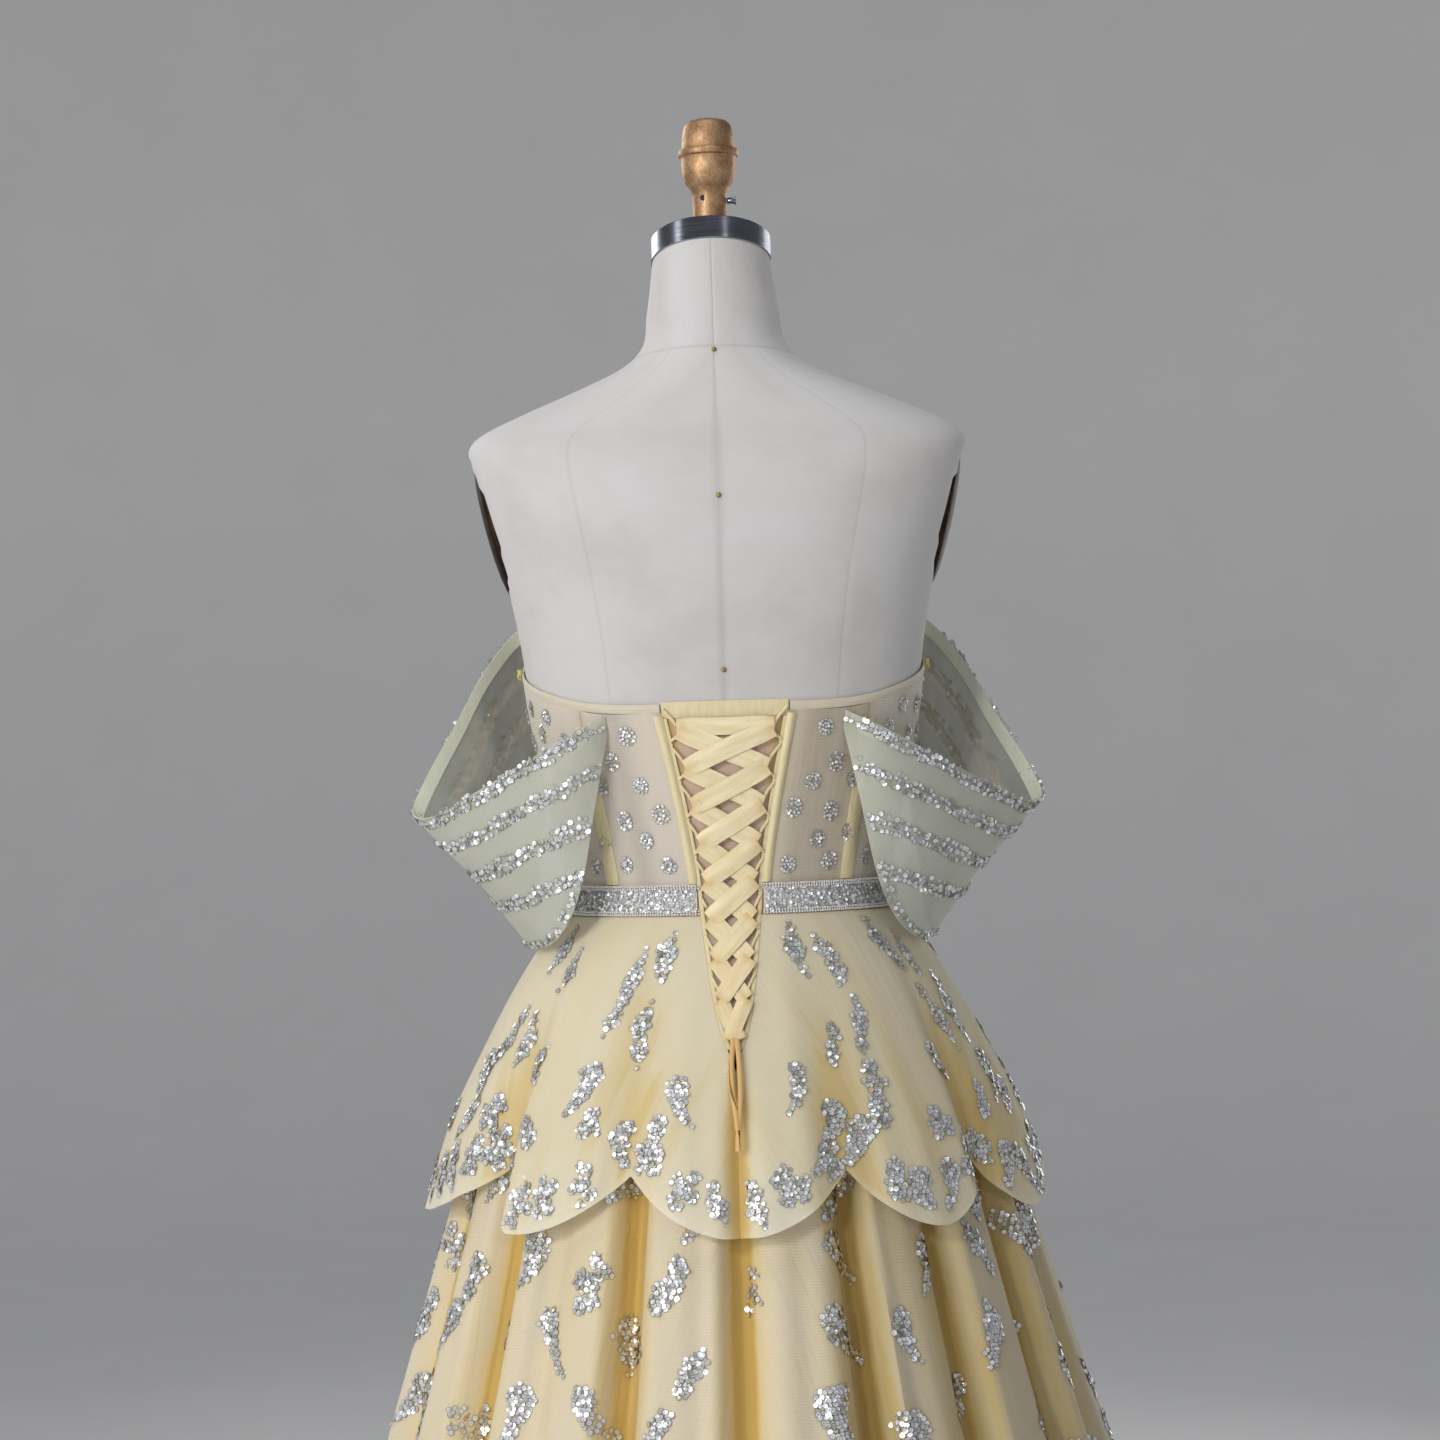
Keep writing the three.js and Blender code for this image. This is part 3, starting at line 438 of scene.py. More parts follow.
def on_opening(x, z, out=0.0):
    """Points by the laced opening: on the bodice above the waist and on the peplum below."""
    x, z, out = arrays(x, z, out)
    bodice = on_bodice(angle_at_x(form_section(z), x), z, out)
    low = np.minimum(z, SKIRT_TOP_Z)
    peplum = on_layer(PEPLUM, angle_at_x(layer_section(PEPLUM, low), x), low, out, folded=False)
    share = ease(0, 1, (1125 - z) / (1125 - SKIRT_TOP_Z))
    return np.stack([x, bodice[..., 1] * (1 - share) + peplum[..., 1] * share, z], -1)


def top_line(angle):
    return smooth(TOP_LINE, "angle", "z", np.abs(turn(0, angle)))


def sleeve_table():
    """The sleeve's sections, with its two seams on the bodice."""
    rows = []
    for along, seam in ((0, SLEEVE_BACK), (SLEEVE_END, SLEEVE_FRONT)):
        edges = [on_bodice(seam["angle"], seam[end], SLEEVE_OUT) for end in ("top", "low")]
        rows.append((along, *edges[0], *edges[1], 0))
    return table("along topX topY topZ lowX lowY lowZ bulge", rows[0], *SLEEVE_SECTIONS, rows[1])


SLEEVE = sleeve_table()


def sleeve_edges(along):
    """Top and low points of the sleeve on the wearer's left."""
    def edge(end):
        return np.stack([smooth(SLEEVE, "along", end + axis, along) for axis in "XYZ"], -1)

    return edge("top"), edge("low")


def sleeve_drop(along):
    """The sleeve's length from its top edge to its lower one."""
    top, low = sleeve_edges(along)
    return np.linalg.norm(low - top, axis=-1)


def on_sleeve(along, down, out=0.0):
    """Points of the left sleeve: down is 0 at its top edge and 1 at its lower one."""
    along, down, out = arrays(along, down, out)
    top, low = sleeve_edges(along)
    away = (top + low) * np.array([1, 1, 0])
    away = away / np.linalg.norm(away, axis=-1, keepdims=True)
    arch = np.sin(math.pi * down)
    sag = 1.2 * np.sin(9 * down + 1.3 * along) * arch * np.sin(math.pi * along / SLEEVE_END)
    bulge = smooth(SLEEVE, "along", "bulge", along) * arch + sag + out
    return top + (low - top) * down[..., None] + away * bulge[..., None]


def mirror(grid, side):
    """A left-hand grid, or the same on the wearer's right."""
    return grid if side > 0 else (grid * np.array([-1, 1, 1]))[:, ::-1]


# Meshes

def mesh_of(name, points, faces, body="root", sharp=50):
    """A new object from points in mm and faces of three or more corners, riding on a body."""
    mesh = bpy.data.meshes.new(name)
    corners = np.concatenate([np.asarray(part).ravel() for part in faces])
    counts = np.concatenate([np.full(len(part), np.asarray(part).shape[1]) for part in faces])
    mesh.vertices.add(len(points))
    mesh.vertices.foreach_set("co", (np.asarray(points) * MM).astype(np.float32).ravel())
    mesh.loops.add(len(corners))
    mesh.loops.foreach_set("vertex_index", corners.astype(np.int32))
    mesh.polygons.add(len(counts))
    mesh.polygons.foreach_set("loop_start", (np.cumsum(counts) - counts).astype(np.int32))
    mesh.polygons.foreach_set("loop_total", counts.astype(np.int32))
    mesh.polygons.foreach_set("use_smooth", np.ones(len(counts), bool))
    mesh.update(calc_edges=True)
    mesh.validate()
    mesh.set_sharp_from_angle(angle=sharp * DEGREE)
    piece = bpy.data.objects.new(name, mesh)
    bpy.context.scene.collection.objects.link(piece)
    if body:
        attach(piece, body)
    return piece


def set_values(piece, name, values):
    """A number for each point of a mesh, which its material can read."""
    layer = piece.data.attributes.new(name, "FLOAT", "POINT")
    layer.data.foreach_set("value", np.asarray(values, np.float32).ravel())


def place_uv(piece, uv):
    """Gives a mesh UVs in metres of cloth, one for each point."""
    layer = piece.data.uv_layers.new(name="cloth")
    corner = np.empty(len(piece.data.loops), np.int32)
    piece.data.loops.foreach_get("vertex_index", corner)
    layer.data.foreach_set("uv", (uv.reshape(-1, 2)[corner] * MM).astype(np.float32).ravel())


def unit(vectors):
    return vectors / np.maximum(np.linalg.norm(vectors, axis=-1, keepdims=True), 1e-9)


def grid_normals(grid):
    return unit(np.cross(np.gradient(grid, axis=0), np.gradient(grid, axis=1)))


def grid_area(grid):
    """Area of a grid's surface."""
    corner, ahead, beyond, beside = grid[:-1, :-1], grid[1:, :-1], grid[1:, 1:], grid[:-1, 1:]
    return float(np.linalg.norm(np.cross(beyond - corner, beside - ahead), axis=-1).sum() / 2)


def grid_runs(grid):
    """Distance of each point along its row and along its column."""
    across = np.linalg.norm(np.diff(grid, axis=1), axis=-1)
    up = np.linalg.norm(np.diff(grid, axis=0), axis=-1)
    u = np.pad(np.cumsum(across, axis=1), ((0, 0), (1, 0)))
    v = np.pad(np.cumsum(up, axis=0), ((1, 0), (0, 0)))
    return u, v


def quads_of(index):
    return np.stack([index[:-1, :-1], index[1:, :-1], index[1:, 1:], index[:-1, 1:]], -1).reshape(-1, 4)


def wall_faces(rows, columns, start=0):
    """Faces of a closed wall: its outer side, its inner side and its rim."""
    count = rows * columns
    index = np.arange(count).reshape(rows, columns) + start
    rim = np.concatenate([index[0, :], index[1:, -1], index[-1, -2::-1], index[-2:0:-1, 0]])
    after = np.roll(rim, -1)
    edge = np.stack([rim, after, after + count, rim + count], -1)
    return [quads_of(index), quads_of(index + count)[:, ::-1], edge]


def wall_points(grid, thick):
    """Points on the outer and then on the inner side of a wall about a grid."""
    half = grid_normals(grid) * thick / 2
    return np.concatenate([(grid + half).reshape(-1, 3), (grid - half).reshape(-1, 3)])


def measure(piece, width, length, area):
    """Keeps a cloth's flat size with its piece, in metres."""
    for key, value in (("width", width * MM), ("length", length * MM), ("area", area * MM * MM)):
        piece[key] = float(value)


def shell(name, grid, thick=CLOTH, **values):
    """A thin closed wall of cloth about a grid of points: rows go up, columns to the wearer's left."""
    shape = grid.shape[:2]
    piece = mesh_of(name, wall_points(grid, thick), wall_faces(*shape))
    u, v = grid_runs(grid)
    middle = shape[1] // 2
    place_uv(piece, np.tile(np.stack([u - u[:, middle:middle + 1], v], -1).reshape(-1, 2), (2, 1)))
    for key, value in values.items():
        set_values(piece, key, np.tile(np.broadcast_to(value, shape).ravel(), 2))
    measure(piece, u[:, -1].max(), v[-1].max(), grid_area(grid))
    return piece


def ribbon_shell(name, grids, width, thick):
    """One ribbon made of several stretches, each a grid of points whose rows follow its length."""
    points, uvs, faces, start, length, area = [], [], [], 0, 0.0, 0.0
    for grid in grids:
        rows, columns = grid.shape[:2]
        points.append(wall_points(grid, thick))
        faces += wall_faces(rows, columns, start)
        u, v = grid_runs(grid)
        uvs += [np.stack([u, length + v], -1).reshape(-1, 2)] * 2
        length += v[-1, columns // 2]
        area += grid_area(grid)
        start += 2 * rows * columns
    piece = mesh_of(name, np.concatenate(points), faces)
    place_uv(piece, np.concatenate(uvs))
    measure(piece, max(width, area / length), length, area)
    return piece


def ring_faces(index, flip=False):
    """Quads between rings of points, and a flat face on the first and on the last ring."""
    quads = quads_of(np.concatenate([index, index[:, :1]], axis=1))
    if flip:
        return [quads[:, [0, 3, 2, 1]], index[:1, ::-1], index[-1:]]
    return [quads, index[:1], index[-1:, ::-1]]


def ring_mesh(name, points, flip=False, ends=2, **options):
    """A round body from rings of points, with none, one or both of its flat ends."""
    index = np.arange(points.shape[0] * points.shape[1]).reshape(points.shape[:2])
    return mesh_of(name, points.reshape(-1, 3), ring_faces(index, flip)[:1 + ends], **options)


def lathe(name, profile, turns=72):
    """A turned solid about the pole, from its profile of radius and height."""
    profile = np.array([row for row in profile if row[0] > 0], float)
    angle = circle(turns)
    radius, z = profile[:, :1], profile[:, 1:]
    points = np.stack([radius * np.cos(angle), radius * np.sin(angle), z + 0 * angle], -1)
    return ring_mesh(name, points, True, sharp=32)


def rings_about(side, up, turns):
    """Unit rings in the planes that pairs of directions span."""
    return side[:, None] * np.cos(turns)[None, :, None] + up[:, None] * np.sin(turns)[None, :, None]


def tube_mesh(paths, radius, sides=8, closed=False):
    """Points and faces of round tubes along paths of points."""
    points, faces, start = [], [], 0
    for path in paths:
        path = np.asarray(path, float)
        tangent = np.gradient(path, axis=0)
        if closed:
            tangent = np.roll(path, -1, axis=0) - np.roll(path, 1, axis=0)
        tangent = unit(tangent)
        helper = np.where(np.abs(tangent[:, 2:3]) > 0.9, [[1.0, 0, 0]], [[0, 0, 1.0]])
        side = unit(np.cross(tangent, helper))
        ring = rings_about(side, np.cross(side, tangent), circle(sides))
        points.append((path[:, None] + ring * radius).reshape(-1, 3))
        index = np.arange(len(path) * sides).reshape(len(path), sides) + start
        if closed:
            index = np.concatenate([index, index[:1]])
        faces += ring_faces(index, True)[:1 if closed else 3]
        start += len(path) * sides
    return np.concatenate(points), faces


# Materials

def tint(colour):
    """A photo colour from 0 to 255, or one linear grey value, as the shader's linear colour."""
    if isinstance(colour, (int, float)):
        return (colour, colour, colour, 1)
    share = np.array(colour) / 255
    linear = np.where(share <= 0.04045, share / 12.92, ((share + 0.055) / 1.055) ** 2.4)
    return (*linear.tolist(), 1)


class Finish:
    """A node material in the making. Fixed values go on the shader itself."""

    def __init__(self, name, **fixed):
        self.material = bpy.data.materials.new(name)
        self.material.use_nodes = True
        self.tree = self.material.node_tree
        self.shader = self.tree.nodes["Principled BSDF"]
        self.feed_all(self.shader, fixed)

    def feed(self, socket, value):
        if hasattr(value, "is_output"):
            self.tree.links.new(value, socket)
        else:
            socket.default_value = tint(value) if socket.type == "RGBA" else value

    def feed_all(self, node, inputs):
        for key, value in inputs.items():
            self.feed(node.inputs[key.replace("_", " ")], value)

    def node(self, kind, settings=None, **inputs):
        made = self.tree.nodes.new("ShaderNode" + kind)
        for key, value in (settings or {}).items():
            setattr(made, key, value)
        self.feed_all(made, inputs)
        return made

    def coordinates(self, stretch, source="UV"):
        place = self.node("TexCoord").outputs[source]
        return self.node("Mapping", Vector=place, Scale=stretch).outputs["Vector"]

    def noise(self, stretch, detail, rough=0.5, scale=1.0, source="UV"):
        place = self.coordinates(stretch, source)
        made = self.node("TexNoise", Vector=place, Scale=scale, Detail=detail, Roughness=rough)
        return made.outputs["Fac"]

    def grain(self, scale, detail, rough=0.5, source="Object"):
        """Noise that is as fine in every direction."""
        return self.noise((1, 1, 1), detail, rough, scale, source)

    def lines(self, direction, scale, distortion=2.5):
        """Fine threads along or across the cloth."""
        made = self.node("TexWave", {"bands_direction": direction}, Vector=self.coordinates((1, 1, 1)),
                         Scale=scale, Distortion=distortion, Detail=2.0)
        return made.outputs["Fac"]

    def math(self, operation, a, b):
        made = self.node("Math", {"operation": operation})
        for socket, value in zip(made.inputs, (a, b)):
            self.feed(socket, value)
        return made.outputs[0]

    def add(self, a, b):
        return self.math("ADD", a, b)

    def times(self, a, b):
        return self.math("MULTIPLY", a, b)

    def ramp(self, factor, *stops):
        made = self.node("ValToRGB", Fac=factor)
        elements = made.color_ramp.elements
        while len(elements) < len(stops):
            elements.new(0.5)
        for element, (place, colour) in zip(elements, stops):
            element.position = place
            element.color = tint(colour)
        return made.outputs["Color"]

    def mix(self, factor, a, b, blend="MIX"):
        made = self.node("Mix", {"data_type": "RGBA", "blend_type": blend})
        colours = [socket for socket in made.inputs if socket.type == "RGBA"]
        for socket, value in zip((made.inputs["Factor"], *colours), (factor, a, b)):
            self.feed(socket, value)
        return [socket for socket in made.outputs if socket.type == "RGBA"][0]

    def value(self, name):
        return self.node("Attribute", {"attribute_name": name}).outputs["Fac"]

    def bump(self, height, strength, distance, under=None):
        made = self.node("Bump", Height=height, Strength=strength, Distance=distance)
        if under is not None:
            self.feed(made.inputs["Normal"], under)
        return made.outputs["Normal"]

    def done(self, **linked):
        self.feed_all(self.shader, linked)
        return self.material


def organza(name, colours, alpha, streak=0.35, rib=900, rib_depth=0.3, inner=None):
    """Sheer fine-ribbed cloth: its colours go from pale on its ridges to deep in its folds, where the deep
    colour is partly the gold layer beneath and partly painted shade.
    """
    made = Finish(name, Roughness=0.62, Alpha=alpha, Sheen_Weight=0.25, Sheen_Roughness=0.5,
                  Specular_IOR_Level=0.35)
    streaks = made.noise((30, 1.8, 1), 5, 0.62)
    strips = made.ramp(streaks, (0.38, 0.0), (0.43, 0.4), (0.53, 0.5), (0.56, 1.0))
    clouds = made.noise((11, 6, 1), 3)
    shade = made.add(made.times(strips, streak * 0.35), made.times(clouds, 0.3))
    fold = made.add(made.value("fold"), made.math("SUBTRACT", shade, 0.175 * streak + 0.15))
    # The fold value picks the colour: the deep colours in the folds are partly painted shade.
    base = made.ramp(fold, *zip((0.0, 0.34, 0.5, 0.85), colours))
    # On a sleeve's inner wall the colour is painted dark grey as painted shade, with the beige thread of the
    # sequin rows over it.
    if inner:
        painted_wall_shade = made.ramp(clouds, (0.38, inner[0]), (0.62, inner[1]))
        base = made.mix(made.value("inner_shade_and_rows"), base, made.mix(made.value("row"), painted_wall_shade, inner[2]))
    ribs = made.lines("Y", rib / 6.28, 2.2)
    patchy = made.times(ribs, made.ramp(clouds, (0.4, 0.25), (0.62, 1.0)))
    ribbed = made.mix(made.times(patchy, rib_depth * 0.4), base, 0.66, "MULTIPLY")
    # Painted shade: a high value here darkens the cloth's colour.
    dimmed = made.mix(made.value("dim"), ribbed, 0.72, "MULTIPLY")
    fine = made.bump(ribs, 0.25, 0.0003)
    return made.done(Base_Color=dimmed, Normal=made.bump(streaks, 0.5, 0.004, fine))


def satin(name, light, shadow, rough=0.34, deep=None):
    """Smooth satin with a lengthwise grain and soft creases, its colour running from the shadow colour to the
    light one as painted shade in the creases; the deep value paints more shade on a ribbon, most on its
    rolled-up tails.
    """
    made = Finish(name, Roughness=rough, Sheen_Weight=0.2, Sheen_Roughness=0.35, Anisotropic=0.35)
    grain = made.noise((1100, 40, 1), 3)
    crease = made.noise((240, 45, 1), 2)
    mixed = made.add(made.times(grain, 0.35), made.times(crease, 0.65))
    colour = made.ramp(mixed, (0.3, shadow), (0.6, light))
    if deep:
        colour = made.mix(made.value("deep"), colour, deep)
    fine = made.bump(grain, 0.12, 0.0002)
    return made.done(Base_Color=colour, Normal=made.bump(crease, 0.4, 0.0012, fine))


def sequin_silver():
    """Cupped silver sequins that pick up a little cream, green and blue from one to the next; those deep in a
    fold are tinted gold as a painted reflection and shade of the cloth.
    """
    made = Finish("sequin_silver", Metallic=0.5, Coat_Weight=1.0, Coat_Roughness=0.06)
    tone = made.value("tone")
    colour = made.ramp(tone, (0.0, (236, 196, 122)), (0.2, (240, 228, 200)), (0.4, (228, 230, 226)),
                       (0.7, (246, 247, 250)), (1.0, (248, 250, 255)))
    # Painted shade: each sequin is darkened at its rim and at its centre hole.
    rim = made.ramp(made.value("cup"), (0.0, 0.1), (0.26, 0.96), (0.72, 0.98), (1.0, 0.45))
    rough = made.add(made.times(tone, 0.12), 0.24)
    return made.done(Base_Color=made.mix(1.0, colour, rim, "MULTIPLY"), Roughness=rough)


def bead_silver():
    made = Finish("bead_silver", Metallic=0.2, Roughness=0.24, Coat_Weight=0.6, Coat_Roughness=0.05)
    spots = made.grain(900, 2)
    return made.done(Base_Color=made.ramp(spots, (0.35, (216, 211, 206)), (0.65, (250, 250, 252))))


def belt_ground():
    made = Finish("belt_ground", Roughness=0.5, Metallic=0.25)
    spots = made.grain(700, 2, source="UV")
    colour = made.ramp(spots, (0.35, (206, 198, 190)), (0.65, (246, 242, 236)))
    return made.done(Base_Color=colour, Normal=made.bump(spots, 0.6, 0.0008))


def linen_cover():
    """Close off-white linen with a fine weave, faint marks and sunk seams."""
    made = Finish("linen_cover", Roughness=0.88, Sheen_Weight=0.15, Sheen_Roughness=0.6)
    weave = made.add(made.times(made.lines("X", 330), 0.5), made.times(made.lines("Y", 300), 0.5))
    slubs = made.noise((60, 500, 1), 3, 0.6)
    marks = made.noise((10, 9, 1), 4, 0.6)
    ground = made.ramp(marks, (0.3, (203, 199, 197)), (0.52, (214, 211, 210)), (0.7, (217, 216, 217)))
    woven = made.mix(made.times(slubs, 0.1), ground, (170, 164, 158), "MULTIPLY")
    seam = made.mix(made.times(made.value("seam"), 0.2), woven, (120, 112, 106))
    return made.done(Base_Color=seam, Normal=made.bump(made.add(weave, slubs), 0.18, 0.0003))


def brushed_steel():
    made = Finish("brushed_steel", Metallic=1.0, Anisotropic=0.5)
    lines = made.noise((30, 30, 1400), 4, 0.7, source="Object")
    smears = made.noise((18, 18, 60), 3, source="Object")
    colour = made.ramp(lines, (0.3, (122, 126, 137)), (0.7, (176, 180, 192)))
    rough = made.add(made.times(smears, 0.12), 0.13)
    return made.done(Base_Color=colour, Roughness=rough, Normal=made.bump(lines, 0.06, 0.0002))


def cast_bronze(name, dark, light):
    """Rough cast metal, rubbed bright on its high grains."""
    made = Finish(name, Metallic=0.95)
    grain = made.grain(620, 4, 0.7)
    patches = made.grain(75, 4, 0.6)
    mixed = made.add(made.times(grain, 0.45), made.times(patches, 0.55))
    rough = made.math("SUBTRACT", 0.72, made.times(mixed, 0.45))
    colour = made.ramp(mixed, (0.36, dark), (0.62, light))
    relief = made.bump(patches, 0.35, 0.002, made.bump(grain, 0.5, 0.0006))
    return made.done(Base_Color=colour, Roughness=rough, Normal=relief)


def enamel():
    made = Finish("dark_enamel", Coat_Weight=0.4, Coat_Roughness=0.2)
    grain = made.grain(240, 4)
    colour = made.ramp(grain, (0.4, (40, 39, 39)), (0.7, (66, 65, 64)))
    rough = made.add(made.times(grain, 0.25), 0.3)
    return made.done(Base_Color=colour, Roughness=rough, Normal=made.bump(grain, 0.25, 0.0006))


# Each cloth's colours from pale to deep: the deep ones stand partly for painted shade in folds.
SHADES = {
    "skirt": ((224, 212, 189), (229, 212, 172), (230, 205, 144), (207, 173, 94)),
    "peplum": ((253, 247, 226), (251, 239, 204), (245, 223, 164), (234, 198, 118)),
    "bodice": ((221, 212, 199), (215, 205, 188), (204, 191, 168), (192, 173, 143)),
    "modesty": ((220, 194, 172), (214, 186, 160), (208, 172, 124), (200, 158, 104)),
    "sleeve": ((224, 226, 211), (216, 219, 200), (205, 207, 184), (194, 194, 164)),
    # A sleeve's inner wall: two greys of painted shade, then the beige of its sequin rows.
    "sleeve_inner_shade_and_rows": ((126, 129, 124), (182, 184, 170), (214, 204, 188)),
    "hem": ((230, 232, 214), (224, 226, 204), (214, 214, 186), (206, 202, 166)),
    "band": ((226, 219, 200), (224, 214, 188), (216, 204, 170), (208, 192, 150)),
}
MATERIALS = {
    "skirt": organza("skirt_organza", SHADES["skirt"], 1.0, 0.5),
    "peplum": organza("peplum_organza", SHADES["peplum"], 0.64, 0.5),
    "bodice": organza("bodice_organza", SHADES["bodice"], 1.0, 0.25, 980, 0.6),
    "modesty": organza("modesty_organza", SHADES["modesty"], 1.0, 0.25, 980, 0.6),
    "sleeve": organza("sleeve_organza", SHADES["sleeve"], 0.6, inner=SHADES["sleeve_inner_shade_and_rows"]),
    "hem": organza("sleeve_hem_organza", SHADES["hem"], 0.95),
    "band": organza("top_band_organza", SHADES["band"], 0.95),
    "knot": satin("knot_thread", (236, 227, 150), (218, 204, 112)),
    "lining": satin("lining_satin", (226, 190, 110), (206, 160, 76), 0.45),
    "ribbon": satin("ribbon_satin", (253, 240, 203), (240, 220, 168), deep=(222, 176, 100)),
    "edge": satin("edge_satin", (238, 226, 186), (228, 210, 160), 0.42),
    "sequin": sequin_silver(),
    "bead": bead_silver(),
    "belt": belt_ground(),
    "linen": linen_cover(),
    "steel": brushed_steel(),
    "bronze": cast_bronze("cast_bronze", (150, 115, 84), (212, 174, 134)),
    "plate": cast_bronze("dark_bronze", (26, 17, 12), (70, 50, 36)),
    "brass": cast_bronze("pin_brass", (120, 104, 66), (196, 176, 120)),
    "enamel": enamel(),
}


def dress(piece, material, slot, *nodes):
    """Gives a piece its material and hides the imported parts that it stands in for; slot is not used."""
    piece.data.materials.append(MATERIALS[material])
    if nodes:
        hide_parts(*nodes)


def cloth(piece, material, slot, node):
    dress(piece, material, slot, *([node] if node else []))


# The form

def build_torso():
    seams = (0, 31, 90, 150, 180, 210, 270, 329)
    beside_seam = (-0.9, -0.35, 0, 0.35, 0.9)
    collar = 1515
    angles = set(np.linspace(0, 360, 104, endpoint=False).tolist())
    angles.update((seam + offset) % 360 for seam in seams for offset in beside_seam)
    levels = np.unique(np.concatenate([
        np.linspace(FORM_BOTTOM_Z, 1040, 11), np.linspace(1050, 1440, 60), np.linspace(1443, 1500, 26),
        np.linspace(1502, NECK_TOP_Z, 24), [collar + offset for offset in (-1.6, -0.6, 0, 0.6, 1.6)],
    ]))
    angle, z = np.meshgrid(np.array(sorted(angles)), levels)
    sewn = sum((1 if seam == 0 else 0.5) * bell(turn(seam, angle), 0.4) for seam in seams)
    sewn = np.clip(sewn * (z < collar) + (np.abs(turn(0, angle)) < 1) * (z >= collar) * sewn, 0, 1)
    sewn = np.clip(sewn + bell(z - collar, 0.7), 0, 1)
    points = on_form(angle, z, -0.35 * sewn)
    for _, side in SIDES:
        up = (points[..., 2] - ARM_PLATE["z"]) / (ARM_PLATE["tall"] + 1.2)
        back = points[..., 1] / (ARM_PLATE["deep"] + 1.2)
        flat = ARM_PLATE["x"] + ARM_PLATE["slope"] * (points[..., 2] - ARM_PLATE["z"])
        beyond = (up * up + back * back < 1) & (side * points[..., 0] > flat)
        points[..., 0] = np.where(beyond, side * flat, points[..., 0])
    piece = ring_mesh("form_torso_cover", points, sharp=40)
    set_values(piece, "seam", sewn)
    place_uv(piece, np.stack([turn(0, angle) * 2.4, z], -1))
    dress(piece, "linen", "form_cover", "form_torso")


def build_arm_plate(name, side):
    rims = (
        (1, 0), (1, 0.2), (0.985, 0.34), (0.95, 0.45), (0.86, 0.62), (0.7, 0.8), (0.5, 0.92), (0.25, 0.99),
    )
    angle = circle(64)[:, None]
    slope = ARM_PLATE["slope"]
    normal = np.array([1, 0, -slope]) / math.hypot(1, slope)
    upward = np.array([slope, 0, 1]) / math.hypot(1, slope)
    centre = np.array([ARM_PLATE["x"], 0, ARM_PLATE["z"]])
    rings = []
    for size, out in rims:
        up = ARM_PLATE["tall"] * size * np.sin(angle) * upward
        back = ARM_PLATE["deep"] * size * np.cos(angle) * np.array([0, 1, 0])
        rings.append(centre + up + back + normal * (SEAM_GAP + ARM_PLATE["thick"] * out))
    piece = ring_mesh(name + "_cast", np.array(rings) * np.array([side, side, 1]), sharp=40)
    dress(piece, "plate", "armhole_plate", name)


def build_neck_plate():
    radius, tall = NECK_PLATE["radius"], NECK_PLATE["tall"]
    profile = ((radius - 0.8, 0), (radius, 0.8), (radius, tall - 1), (radius - 1, tall), (20, tall))
    piece = lathe("form_neck_plate_turned", profile, 96)
    low = NECK_TOP_Z + SEAM_GAP / math.cos(NECK_PLATE["tilt"])
    move(piece, (0, 0, low), NECK_PLATE["tilt"], "X")
    dress(piece, "steel", "steel", "form_neck_plate")


def move(piece, place, turned, axis):
    """Turns a lathed piece about an axis and moves it to its place."""
    piece.data.transform(Matrix.Translation(Vector(place) * MM) @ Matrix.Rotation(turned, 4, axis))


def build_metal():
    dress(lathe("form_finial_cast", FINIAL), "bronze", "cast_bronze", "form_finial")
    dress(lathe("form_stand_cast", STAND, 96), "enamel", "stand_iron", "form_stand")
    pole = lathe("form_pole_tube", ((POLE["radius"], POLE["foot"]), (POLE["radius"], POLE["top"])), 48)
    dress(pole, "steel", "steel", "form_pole")
    screw = lathe("form_set_screw_turned", SCREW["profile"], 24)
    move(screw, SCREW["place"], math.pi / 2, "Y")
    dress(screw, "steel", "steel", "form_set_screw")
    hole = lathe("form_finial_hole", HOLE["profile"], 20)
    move(hole, HOLE["place"], -math.pi / 2, "X")
    dress(hole, "enamel", "stand_iron")
    for number, level in enumerate(PIN["levels"]):
        pin = lathe(f"form_pin_{number}", PIN["profile"], 16)
        move(pin, on_form(0, level, 0.2), -math.pi / 2, "X")
        dress(pin, "brass", "cast_bronze")


# The bodice

